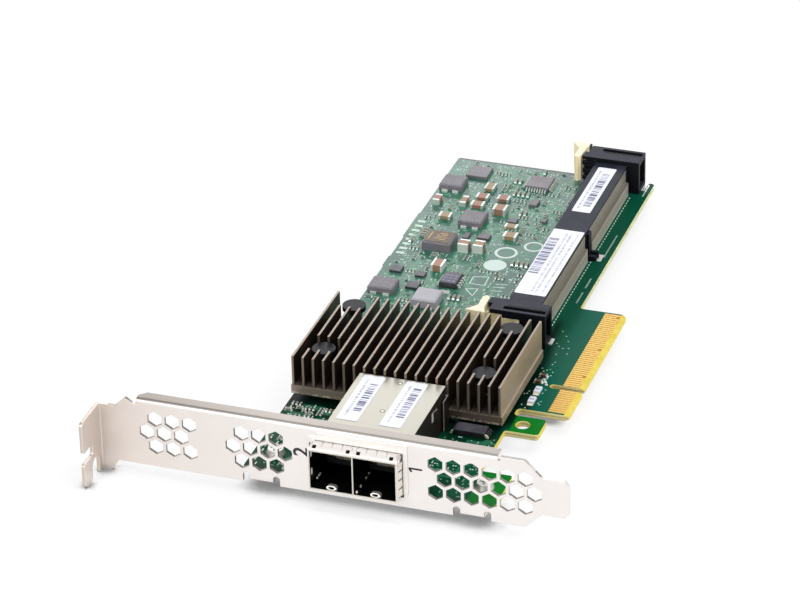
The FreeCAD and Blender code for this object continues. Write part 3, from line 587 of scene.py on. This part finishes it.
def prism_shape(*profile):
    """Bar one long across the card with a side profile of (y, z) stations, listed anticlockwise as seen
    from the right: one ring of corners at each end, joined round."""
    ends = [np.column_stack((np.full(len(profile), side), profile)) for side in (-0.5, 0.5)]
    return closed(np.vstack(ends))


BLOCK = block_shape()
FLAT = block_shape(0.01)
# Unit solder fillet: full height at its back, thin at its front, narrower on top.
WEDGE = (np.array([(-.5, -.5, 0), (.5, -.5, 0), (.5, .5, 0), (-.5, .5, 0),
                   (-.5, -.42, 1), (-.5, .42, 1), (.1, .4, .35), (.1, -.4, .35)]),
         [(3, 2, 1, 0), (4, 7, 6, 5), (0, 4, 5, 3), (7, 1, 2, 6), (0, 1, 7, 4), (2, 3, 5, 6)])


def copies(shape, places, sizes, turns=0.0):
    """Copies of a unit shape: corners times a size, turned about the vertical, plus a place in stations."""
    points, faces = shape
    places = np.asarray(places, float).reshape(-1, 3)
    sizes = np.broadcast_to(np.asarray(sizes, float), (len(places), 3))
    angle = np.radians(np.broadcast_to(np.asarray(turns, float), (len(places),)))[:, None]
    wide, long, high = np.moveaxis(points[None] * sizes[:, None], -1, 0)
    across = wide * np.cos(angle) - long * np.sin(angle)
    deep = wide * np.sin(angle) + long * np.cos(angle)
    placed = np.stack((across, deep, high), -1) + places[:, None]
    return placed.reshape(-1, 3), faces, len(points)


def bars(lines, width, height, level=0.0):
    """Thin flat bars on a level: each line is (x, y, x, y), its bar as long as the line."""
    lines = np.asarray(lines, float).reshape(-1, 4)
    step = lines[:, 2:] - lines[:, :2]
    centre = (lines[:, 2:] + lines[:, :2]) / 2
    places = np.column_stack((centre, np.full(len(lines), level)))
    sizes = np.column_stack((np.hypot(*step.T), np.full(len(lines), width), np.full(len(lines), height)))
    return copies(FLAT, places, sizes, np.degrees(np.arctan2(step[:, 1], step[:, 0])))


def on_board(*pairs, level=0.0):
    """Places on a level from (x, y) pairs."""
    return [(x, y, level) for x, y in pairs]


def linked(name, data):
    """A new object of a mesh, curve, lamp or camera, in the scene."""
    made = bpy.data.objects.new(name, data)
    bpy.context.scene.collection.objects.link(made)
    return made


def show(name, mesh, material):
    """A mesh in one material, riding on the card."""
    mesh.materials.append(material)
    made = linked(name, mesh)
    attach(made, "card")


def piece(name, parts, material):
    """One flat-shaded piece from several sets of copies, in metres."""
    corners, faces, base = [], [], 0
    for placed, pattern, size in parts:
        corners.append(placed)
        starts = base + np.arange(len(placed) // size)[:, None] * size
        for face in pattern:
            faces.extend((starts + np.array(face)).tolist())
        base += len(placed)
    mesh = bpy.data.meshes.new(name)
    mesh.from_pydata(station(np.vstack(corners)).tolist(), [], faces)
    mesh.shade_flat()
    show(name, mesh, material)


# ---- the board's smallest parts

CELL = 0.25
GRID_SIZE = (72, 175)
FIRST_CELL = (1, 10)
LOW_REACH, HIGH_REACH = -0.2, 1.6
CLEAR_ROUND = 0.3
PART_GAP = 0.5
UNCOUNTED = ("circuit_board", "edge_contacts_top", "edge_contacts_bottom", "bracket")


def taken_cells():
    """Grid of the board's surface, true where a solid stands: each low face marks the cells of its box."""
    grid = np.zeros([int(side / CELL) for side in GRID_SIZE], bool)
    for name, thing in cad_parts.items():
        if name in UNCOUNTED:
            continue
        corners = np.empty(len(thing.data.vertices) * 3)
        thing.data.vertices.foreach_get("co", corners)
        order = np.empty(len(thing.data.polygons) * 3, int)
        thing.data.polygons.foreach_get("vertices", order)
        faces = ((corners.reshape(-1, 3) - START) / MM)[order.reshape(-1, 3)]
        low, high = faces.min(1), faces.max(1)
        near = (low[:, Z] < HIGH_REACH) & (high[:, Z] > LOW_REACH)
        first = np.maximum(((low[near, :2] - CLEAR_ROUND) / CELL).astype(int), 0)
        last = np.maximum(((high[near, :2] + CLEAR_ROUND) / CELL).astype(int) + 1, 0)
        for (x0, y0), (x1, y1) in zip(first, last):
            grid[x0:x1, y0:y1] = True
    return grid


TAKEN = taken_cells()
RNG = np.random.default_rng(7)


def free(x, y, wide, deep):
    """True if a rectangle of the board is empty; it is then taken."""
    left, front = int((x - wide / 2) / CELL), int((y - deep / 2) / CELL)
    cells = np.s_[left:math.ceil((x + wide / 2) / CELL), front:math.ceil((y + deep / 2) / CELL)]
    if left < FIRST_CELL[X] or front < FIRST_CELL[Y] or TAKEN[cells].any():
        return False
    TAKEN[cells] = True
    return True


def drawn(zone, tries):
    """Random spots of a zone."""
    x0, x1, y0, y1 = zone
    return RNG.uniform((x0, y0), (x1, y1), (tries, 2))


def clusters(zone, tries, long, wide):
    """Rows of up to four equal parts side by side, at random free spots of a zone, each (x, y, turn)."""
    x0, x1, y0, y1 = zone
    found = []
    for spot, quarter, count in zip(drawn(zone, tries), RNG.integers(0, 2, tries), RNG.integers(1, 5, tries)):
        x, y = np.round(spot / CELL) * CELL
        across, deep = (wide, long) if quarter else (long, wide)
        for _ in range(count):
            if x0 < x < x1 and y0 < y < y1 and free(x, y, across + PART_GAP / 2, deep + PART_GAP / 2):
                found.append((x, y, 90.0 * quarter))
            x += (wide + PART_GAP) * quarter
            y += (wide + PART_GAP) * (1 - quarter)
    return np.array(found).reshape(-1, 3)


def chip_parts(spots, long, wide, high, end=0.25):
    """Body, two metal ends and two solder fillets for each small part at its spot and turn."""
    places = np.column_stack((spots[:, :2], np.zeros(len(spots))))
    turn = spots[:, 2]
    way = np.column_stack((np.cos(np.radians(turn)), np.sin(np.radians(turn)), np.zeros(len(spots))))
    body = copies(BLOCK, places, (long - 2 * end, wide - 0.04, high - 0.02), turn)
    ends = [copies(BLOCK, places + way * out, (end, wide, high), turn)
            for out in ((end - long) / 2, (long - end) / 2)]
    fillets = [copies(WEDGE, places + way * out, (end, wide, high * 0.6), turn + half_turn)
               for out, half_turn in ((-(long + end) / 2, 180), ((long + end) / 2, 0))]
    return body, ends, fillets


# Zones of the board for the random parts, as low and high stations across and along.
BACK = (1.2, 40.5, 70.5, 169.6)
FRONT_LEFT = (0.8, 18.0, 3.5, 33.5)
FRONT_RIGHT = (42.2, 55.5, 3.5, 33.5)
ZONES = (BACK, FRONT_LEFT, FRONT_RIGHT)
# Printed marks that the random parts leave room for, each a middle.
RING = (29.0, 122.1)
SECOND_RING = (35.1, 127.3)
SPOT = (28.2, 114.8)
for reserved in ((*RING, 6.4, 6.6), (*SPOT, 6.2, 6.4), (*SECOND_RING, 5.6, 5.8), (27.0, 105.5, 5.0, 6.0),
                 (26.3, 99.5, 4.4, 5.0), (33.0, 103.5, 4.4, 5.5), (33.2, 110.0, 3.5, 5.5),
                 (2.0, 123.2, 3.6, 21.0)):
    free(*reserved)


def small_parts():
    """Rows of small chip parts, tan and grey ones and dark flat ones, and two brown ones by the fingers
    with round drops of solder beside them."""
    metal, solder, tan, dark = [], [], [], []
    kinds = ((1.6, 0.8, 0.7, 26, tan), (1.0, 0.5, 0.45, 120, tan), (1.0, 0.5, 0.32, 110, dark))
    for long, wide, high, tries, holder in kinds:
        for zone, share in ((BACK, 1.0), (FRONT_LEFT, 0.3)):
            spots = clusters(zone, int(tries * share), long, wide)
            body, ends, fillets = chip_parts(spots, long, wide, high)
            holder.append(body)
            metal += ends
            solder += fillets
    by_fingers = np.array([(56.9, 60.3, 0.0), (57.3, 63.4, 0.0)])
    body, ends, fillets = chip_parts(by_fingers, 1.9, 1.1, 0.8, 0.3)
    drops = copies(disc_shape(12, 0.7), on_board((57.9, 61.9), (59.1, 59.7), (58.5, 60.9)), (0.85, 0.85, 0.3))
    piece("brown_capacitors", [body], DEEP_BROWN)
    piece("small_capacitors", tan, SMALL_CERAMIC)
    piece("small_resistors", dark, RESISTOR)
    piece("small_part_ends", metal + ends, CAP_END)
    piece("small_part_solder", [*solder, *fillets, drops], TERMINAL)


def filter_ends():
    """Metal end strips of the two white chip resistors, the solder before and behind them and three short
    bars on each."""
    low, high = box_of("filter_blocks")
    wide = high[X] - low[X]
    middle = (low[X] + high[X]) / 2
    long = 2.5
    rows = np.array(on_board((middle, low[Y] + long / 2), (middle, high[Y] - long / 2)))
    strips = [copies(BLOCK, rows + (0, side * (long / 2 + 0.11), 0), (wide, 0.2, 0.7)) for side in (-1, 1)]
    feet = [copies(WEDGE, rows + (0, side * (long / 2 + 0.46), 0), (0.5, wide, 0.5), 90 * side)
            for side in (-1, 1)]
    piece("filter_ends", strips + feet, SOLDER)
    marks = [(x, y - 0.35, x + 0.12, y + 0.35) for y in rows[:, Y] for x in middle + np.array((-0.4, 0, 0.4))]
    piece("filter_marks", [bars(marks, 0.22, 0.015, high[Z])], BAR_INK)


def pale_pads():
    """Bare pads: single ones by the fingers, and pairs at random free spots."""
    spots = on_board((55.76, 54.42), (55.11, 54.12), (55.97, 55.6), (56.02, 48.96), (57.3, 47.6),
                     (59.78, 50.65), (60.24, 51.56), (60.26, 50.02), (59.43, 55.53), (59.64, 57.26),
                     (58.45, 62.51), (58.87, 64.33), (58.88, 66.03), (56.55, 65.9), (57.19, 66.66),
                     (57.72, 69.66))
    for zone, tries in zip(ZONES, (700, 110, 20)):
        for (x, y), quarter in zip(drawn(zone, tries), RNG.integers(0, 2, tries)):
            if free(x, y, 1.0 - 0.5 * quarter, 0.5 + 0.5 * quarter):
                across, deep = (0.0, 0.3) if quarter else (0.3, 0.0)
                spots += on_board((x - across, y - deep), (x + across, y + deep))
    piece("pale_pads", [copies(FLAT, spots, (0.36, 0.4, 0.02))], PAD)


def vias():
    """Plated through holes: small rings by the fingers and at random free spots."""
    spots = on_board((55.4, 86.4), (57.0, 84.3), (58.2, 82.0), (55.7, 80.2), (56.6, 78.9), (57.9, 78.2),
                     (59.3, 78.6), (57.1, 74.9), (59.7, 75.9), (58.0, 70.9), (54.5, 69.6), (54.3, 67.9),
                     (54.3, 66.2), (55.8, 67.3), (57.9, 67.2), (53.6, 60.6))
    for zone, tries in zip(ZONES, (700, 110, 80)):
        spots += on_board(*(spot for spot in drawn(zone, tries) if free(*spot, 0.5, 0.5)))
    piece("via_rings", [copies(band_shape(8, 0.45), spots, (0.5, 0.5, 0.02))], VIA)


def traces():
    """Bundles of fine covered traces: each runs straight, bends by an eighth turn and runs on."""
    lines = []
    for (x0, x1, y0, y1), count in zip(ZONES, (110, 12, 12)):
        starts = drawn((x0 + 1, x1 - 1, y0 + 1, y1 - 1), count)
        drawn_runs = (RNG.integers(0, 4, count), RNG.integers(2, 8, count), RNG.uniform(3, 11, count),
                      RNG.choice((-1, 1), count))
        for start, quarter, number, run, lean in zip(starts, *drawn_runs):
            angle = np.radians(90 * quarter)
            ahead = np.array((np.cos(angle), np.sin(angle)))
            aside = np.array((-ahead[1], ahead[0]))
            slant = (ahead + lean * aside) / math.sqrt(2)
            for i in range(number):
                a = start + aside * 0.32 * i
                b = a + ahead * (run - lean * 0.13 * i)
                c = b + slant * run * 0.4
                d = c + ahead * run * 0.3
                for p, q in ((a, b), (b, c), (c, d)):
                    if all(x0 - 0.5 < v[0] < x1 + 0.5 and y0 - 0.5 < v[1] < y1 for v in (p, q)):
                        lines.append((*p, *q))
    piece("covered_traces", [bars(lines, 0.15, 0.012)], TRACE)


def looped(*corners):
    """Lines from each corner to the next and back to the first."""
    return [(*a, *b) for a, b in zip(corners, (*corners[1:], corners[0]))]


def board_print():
    """White print: two rings, a round spot, a frame, a triangle, dots, dashed and short plain lines."""
    dashes = [(51.9, y, 51.9, y + 0.8) for y in np.arange(76.5, 161.5, 1.5)]
    fine = [(54.3, y, 54.75, y) for start, end in ((101.7, 107.5), (109.9, 115.2), (127.3, 139.6))
            for y in np.arange(start, end, 0.42)]
    figures = [*looped((24.7, 103.6), (28.9, 103.6), (28.6, 108.3), (24.7, 107.3)),
               *looped((24.6, 100.6), (27.8, 101.4), (27.5, 97.5)),
               (31.5, 105.0, 34.7, 105.6), (31.4, 103.4, 34.4, 103.9), (31.3, 101.4, 34.2, 101.9)]
    short = []
    for zone, tries in zip(ZONES, (420, 60, 40)):
        for (x, y), quarter, length in zip(drawn(zone, tries), RNG.integers(0, 2, tries),
                                           RNG.uniform(0.5, 1.5, tries)):
            half = length / 2 - 0.12
            if quarter and free(x, y, 0.25, length):
                short.append((x, y - half, x, y + half))
            elif not quarter and free(x, y, length, 0.25):
                short.append((x - half, y, x + half, y))
    rings = copies(band_shape(48, 0.76), on_board(RING, SECOND_RING), [(6.2, 6.2, 0.02), (5.4, 5.4, 0.02)])
    spot = copies(disc_shape(40, 0.99), on_board(SPOT), (6.2, 6.0, 0.02))
    places = on_board((32.3, 112.2), (32.1, 108.3), (34.3, 108.4), (25.7, 146.6), (1.9, 163.7))
    dots = copies(disc_shape(), places, (0.7, 0.7, 0.02))
    lines = [bars(drawing, width, 0.02)
             for drawing, width in ((figures, 0.26), (dashes, 0.22), (fine, 0.13), (short, 0.14))]
    piece("board_print", [*lines, rings, spot, dots], SILK)


def solder_pads():
    """Bright pads: a row by the left edge, the socket's side anchors and feet under the larger parts."""
    edge = [(2.0, y, 0.0) for y in np.linspace(114.2, 132.3, 8)]
    anchors = on_board((52.2, 83.9), (54.2, 80.4), (53.6, 126.4), (54.2, 168.4), (55.0, 166.4), (20.0, 97.4))
    sizes = [(1.0, 2.6, 0.3), (0.9, 3.0, 0.3), (1.4, 3.6, 0.08), (1.0, 4.6, 0.12), (0.3, 7.0, 0.05),
             (2.6, 1.6, 0.1)]
    piece("edge_pads", [copies(BLOCK, edge, (2.2, 1.1, 0.06))], PAD)
    piece("solder_pads", [copies(BLOCK, anchors, sizes)], SOLDER)


def package_marks():
    """Plain light dashes on the regulator and thin gold ones on the power choke's plate; no letters."""
    low, high = box_of("regulator")
    rows = [(x, y, x + 0.9, y) for x in low[X] + 0.6 + 1.3 * np.arange(3)
            for y in low[Y] + np.array((1.2, 2.6, 4.0))]
    piece("regulator_marks", [bars(rows, 0.5, 0.012, high[Z])], MARK)
    low, high = box_of("power_choke_plate")
    shares = np.array([(0.1, 0.2, 0.13, 0.85)] + [(a, b, a + c, b + 0.04) for a, b, c in (
        (0.3, 0.3, 0.14), (0.52, 0.26, 0.2), (0.4, 0.44, 0.2), (0.66, 0.42, 0.12), (0.36, 0.6, 0.1),
        (0.56, 0.62, 0.22), (0.45, 0.78, 0.3))])
    lines = np.tile(low[:2], 2) + shares * np.tile((high - low)[:2], 2)
    piece("choke_plate_marks", [bars(lines, 0.22, 0.012, high[Z])], GOLD_MARK)


# ---- trim of the cage, its collar and the socket

CAGE_MIDDLE = 30.0
COLLAR_FRONT = -2.5
FINGER_LEFT, FINGER_RIGHT, FINGER_PITCH = 19.33, 30.57, 2.55


def sloped(*points):
    """Bar on the collar's slope: height rises with the slope's steepness from its front edge, plus a lift
    at each (y, lift)."""
    return prism_shape(*((y, 10.9 + (y - COLLAR_FRONT) * 1.15 / 2.1 + lift) for y, lift in points))


def crossbars(shape, stations, lengths):
    """Copies of a bar across the card, at stations, each as long as its length."""
    lengths = np.broadcast_to(lengths, len(stations))
    return copies(shape, [(x, 0, 0) for x in stations], [(length, 1, 1) for length in lengths])


def collar_trim():
    """Closes the collar's top between and beside its finger groups: bent corner fingers, the rolled lip
    that joins all fingers in front, seams between them and rims in a dark brown that is painted shade,
    and four dark square holes."""
    bent = prism_shape((-1.9, 10.9), (-0.25, 11.85), (0.3, 11.85), (1.7, 11.275), (1.7, 11.475),
                       (0.35, 12.05), (-0.4, 12.05), (COLLAR_FRONT, 10.9))
    lip = sloped((COLLAR_FRONT, -0.05), (-0.66, -0.05), (-0.66, 0.045), (COLLAR_FRONT, 0.035))
    edge = prism_shape((-2.4, 10.2), (-0.4, 11.2), (0.4, 11.2), (0.4, 12.0), (-0.4, 12.0), (-2.4, 10.95))
    turned = [(41.25 + 0.06 * i, 0, -0.25 * i) for i in range(3)]
    corners = [crossbars(bent, (19.36, CAGE_MIDDLE, 40.64), (0.78, 1.5, 0.78)),
               crossbars(lip, [CAGE_MIDDLE], 22.1), copies(edge, turned, (0.1, 1, 1))]
    piece("collar_corners", corners, COLLAR)
    # Seams and rims are painted shade along the gaps and edges.
    seam = sloped((-1.5, 0.03), (-0.62, 0.03), (-0.62, 0.07), (-1.5, 0.06))
    gaps = [start + FINGER_PITCH * i for start in (FINGER_LEFT, FINGER_RIGHT) for i in range(5)]
    rim = prism_shape((-2.51, 10.86), (-2.42, 10.86), (-2.42, 10.97), (-2.51, 10.95))
    hip = prism_shape((0.3, 12.0), (0.42, 12.0), (0.42, 12.07), (0.3, 12.07))
    seams = [crossbars(seam, gaps, 0.1), crossbars(rim, 20.2 + 2.45 * np.arange(9), 1.5),
             crossbars(hip, [CAGE_MIDDLE], 22.0)]
    piece("collar_seams", seams, SEAM_SHADE)
    hole = sloped((-2.25, 0.0), (-1.4, 0.0), (-1.4, 0.06), (-2.25, 0.06))
    piece("collar_holes", [crossbars(hole, (20.1, 28.6, 31.2, 39.5), 0.95)], TUNNEL)


def upright(part, across, front, up):
    """Copies laid on the board turned to stand on a face that looks forward: across stays, deep becomes
    up and high becomes forward, from a point of the face in stations."""
    placed, faces, size = part
    return placed[:, (X, Z, Y)] * (1, -1, 1) + (across, front, up), faces, size


def contact_tips():
    """Pale contact ends in a row on each port receptacle's front."""
    rows = [(x, 4.25, x, 5.35) for start in (23.2, 33.5) for x in start + 0.45 * np.arange(13)]
    piece("contact_tips", [upright(bars(rows, 0.2, 0.03), 0.0, 5.5, 0.0)], TIPS)


def mouth_glints():
    """Painted glints in the mouths, bright bits where light catches: ends of the keying loops, a line of
    springs along each floor's left edge and two on the outer wall."""
    ring = band_shape(20, 0.62)
    loops = [upright(copies(ring, [(0, 0, 0)], (2.5, 1.3, 0.06)), x, -2.7, 0.95) for x in (24.45, 35.55)]
    springs = [(30.75, y, 0.5) for y in (-2.2, 0.6, 4.5, 6.6, 10.2)]
    springs += [(19.8, y, 1.0) for y in (0.4, 1.6, 2.4)]
    walls = [(19.3, -1.9, z) for z in (3.6, 8.6)]
    blocks = [copies(BLOCK, springs, (0.35, 0.5, 0.45)), copies(BLOCK, walls, (0.12, 0.7, 1.6))]
    piece("mouth_glints", loops + blocks, GLINT)


def slot_shades():
    """Dark inner edges along the end housings' top slots."""
    rows = [(42.7, y, 53.2, y) for y in (79.25, 167.75)]
    piece("slot_shades", [bars(rows, 0.75, 0.015, 9.5)], SHADE)


def lid_marks():
    """Two shallow round stamps on the cage lid, between the labels: each a painted highlight spot in a
    painted shade rim.
    """
    spots = on_board((30.1, 19.0), (30.1, 32.5), level=10.9)
    piece("lid_stamps", [copies(disc_shape(16, 0.9), spots, (0.8, 0.8, 0.02))], LID_SPOT)
    piece("lid_stamp_rims", [copies(band_shape(20, 0.62), spots, (1.35, 1.35, 0.02))], LID_RIM)


for make in (small_parts, filter_ends, pale_pads, solder_pads, vias, board_print, traces, package_marks,
             collar_trim, contact_tips, mouth_glints, slot_shades, lid_marks):
    make()


# ---- print on labels and bracket

def label_print(carrier, side, bar_side, span, text_rows):
    """Plain bars on a label between two shares of its width and of its length, and thin grey lines in rows
    at other shares of the width; no letters."""
    low, high = box_of(f"{carrier}_label_{side}")
    wide, deep, _ = high - low
    level = high[Z]
    x0, x1 = low[X] + np.array(bar_side) * wide
    y0, y1 = low[Y] + np.array(span) * deep
    start = y0 + np.cumsum(RNG.choice((0.34, 0.5, 0.68, 0.9), 200))
    start = start[start < y1]
    thick = RNG.choice((0.16, 0.28, 0.4), len(start))
    rows = []
    for x in low[X] + np.array(text_rows) * wide:
        steps = low[Y] + 1.5 + np.cumsum(RNG.choice((0.3, 0.42, 0.75), 300))
        rows += [(x - 0.28, y, x + 0.28, y) for y in steps[steps < high[Y] - 2.0]]
    sizes = [(x1 - x0, line, 0.02) for line in thick]
    coded = copies(FLAT, [((x0 + x1) / 2, y, level) for y in start], sizes)
    piece(f"{carrier}_bars_{side}", [coded, bars(rows, 0.12, 0.015, level)], BAR_INK)


label_print("cage", "left", (0.5, 0.86), (0.2, 0.85), (0.3,))
label_print("cage", "right", (0.5, 0.86), (0.2, 0.88), (0.3,))
label_print("socket", "front", (0.04, 0.36), (0.3, 0.86), (0.5, 0.64, 0.84))
label_print("socket", "rear", (0.42, 0.82), (0.1, 0.86), (0.24,))

FIGURE_LEVEL = 8.0


def bracket_figure(name, figure, across, up, height):
    """A plain figure printed on the bracket's face, read from the bottom up: its outline made a thin mesh."""
    curve = bpy.data.curves.new(name, "FONT")
    curve.body = figure
    curve.size = height / 0.7 * MM
    curve.extrude = 0.012 * MM
    curve.offset = 0.1 * MM
    curve.align_x = "CENTER"
    curve.align_y = "CENTER"
    outline = linked(name + "_outline", curve)
    bpy.context.view_layer.update()
    mesh = bpy.data.meshes.new_from_object(outline.evaluated_get(bpy.context.evaluated_depsgraph_get()))
    bpy.data.objects.remove(outline)
    turned = Matrix(((0, -1, 0), (0, 0, -1), (1, 0, 0))).to_4x4()
    turned.translation = station((across, -0.012, up))
    mesh.transform(turned)
    mesh.materials.clear()
    show(name, mesh, INK)


bracket_figure("port_figure_left", "2", 16.1, FIGURE_LEVEL, 3.7)
one = bars([(-1.65, 0.35, 1.7, 0.35), (-1.6, 0.3, -0.95, -0.6)], 0.5, 0.025)
piece("port_figure_right", [upright(one, 44.9, 0.0, FIGURE_LEVEL)], INK)


# ---- room, light and camera

FLOOR_REACH = 6
SHADE_REACH = 6 * MM
SKY_TONE = (0.93, 0.95, 1.0, 1)
CARD_MIDDLE = (30, 90, 0)
LAMPS = (("rear_softbox", (-0.62, 1.25, 0.46), (10, 140, 0), 0.6, 0.42, 5),
         ("top_softbox", (0.5, -0.2, 1.5), CARD_MIDDLE, 1.0, 1.0, 16),
         ("front_softbox", (-0.5, -1.3, 0.7), CARD_MIDDLE, 1.0, 0.8, 12),
         ("right_softbox", (1.3, 0.2, 0.5), CARD_MIDDLE, 0.8, 0.8, 9))
LENS = 174.381
CAMERA_SPOT = (303.05, -736.15, 495.77)
CAMERA_FORWARD = (-0.29083, 0.82039, -0.49231)
CAMERA_RIGHT = (0.94634, 0.32245, -0.02171)


def shine(tree, share, first, second, end):
    """Mixes two shaders by a share on to a tree's end node."""
    mixed = put(tree, "MixShader")
    feed(mixed.inputs, share, first.outputs[0], second.outputs[0])
    join(mixed.outputs[0], tree.nodes[end].inputs["Surface"])


def floor_finish():
    """Pale floor. To the camera and in reflections it is mostly even white, dimmed close in front of the
    bracket and under the board: the free share of the sky to a power."""
    pale = bpy.data.materials.new("floor_pale")
    pale.use_nodes = True
    tree = pale.node_tree
    matt = fill(tree.nodes["Principled BSDF"], Base_Color=(0.9, 0.9, 0.9, 1), Roughness=0.9,
                Specular_IOR_Level=0.0)
    near = put(tree, "AmbientOcclusion", Distance=SHADE_REACH)
    near.samples = 8
    open_share = math_node("POWER", spread(near.outputs["AO"], 0.5, 0.76, 0.12, 1.0), 1.4)
    under = larger(within(tree, (0.5, 51.5, 1.5), (10.0, 169.0, 1.5)),
                   within(tree, (48.0, 64.5, 1.8), (51.2, 96.5, 1.2)))
    behind = times(along(tree, Y, 4.0, 14.0), rest(under))
    glow = put(tree, "Emission", Strength=larger(larger(open_share, 0.15), behind))
    path = put(tree, "LightPath").outputs
    mirrored = larger(path["Is Glossy Ray"], path["Is Transmission Ray"])
    seen = times(larger(path["Is Camera Ray"], mirrored), 0.8)
    shine(tree, seen, matt, glow, "Material Output")
    return pale


def room():
    """Floor under the bracket's lowest edge, and a soft sky that looks white to the camera."""
    level = cad_box[0][2] - 0.02 * MM
    mesh = bpy.data.meshes.new("floor")
    mesh.from_pydata([(side * FLOOR_REACH, ahead * FLOOR_REACH, level)
                      for side, ahead in ((-1, -1), (1, -1), (1, 1), (-1, 1))], [], [(0, 1, 2, 3)])
    mesh.materials.append(floor_finish())
    floor = linked("floor", mesh)
    world = bpy.data.worlds.new("studio")
    bpy.context.scene.world = world
    world.use_nodes = True
    tree = world.node_tree
    sky = fill(tree.nodes["Background"], Color=SKY_TONE, Strength=0.45)
    back = put(tree, "Background", Strength=1.0)
    shine(tree, put(tree, "LightPath").outputs["Is Camera Ray"], sky, back, "World Output")


def softbox(name, spot, aim, width, height, power):
    """Rectangular area lamp at a spot, turned to an aim in stations."""
    lamp = bpy.data.lights.new(name, "AREA")
    lamp.shape = "RECTANGLE"
    lamp.size = width
    lamp.size_y = height
    lamp.energy = power
    made = linked(name, lamp)
    made.location = spot
    made.rotation_mode = "QUATERNION"
    made.rotation_quaternion = (Vector(station(aim)) - Vector(spot)).to_track_quat("-Z", "Y")


def camera():
    """Long-lens camera above the bracket's right, looking down the card."""
    forward = Vector(CAMERA_FORWARD).normalized()
    right = Vector(CAMERA_RIGHT)
    right = (right - right.dot(forward) * forward).normalized()
    made = linked("camera", bpy.data.cameras.new("camera"))
    made.data.lens = LENS
    made.data.sensor_width = 36
    made.data.clip_start = 0.01
    made.data.clip_end = 50
    turned = Matrix((right, right.cross(forward), -forward)).transposed().to_4x4()
    turned.translation = station(CAMERA_SPOT)
    made.matrix_world = turned
    bpy.context.scene.camera = made


room()
for lamp in LAMPS:
    softbox(*lamp)
camera()
bpy.context.scene.view_settings.view_transform = "Standard"
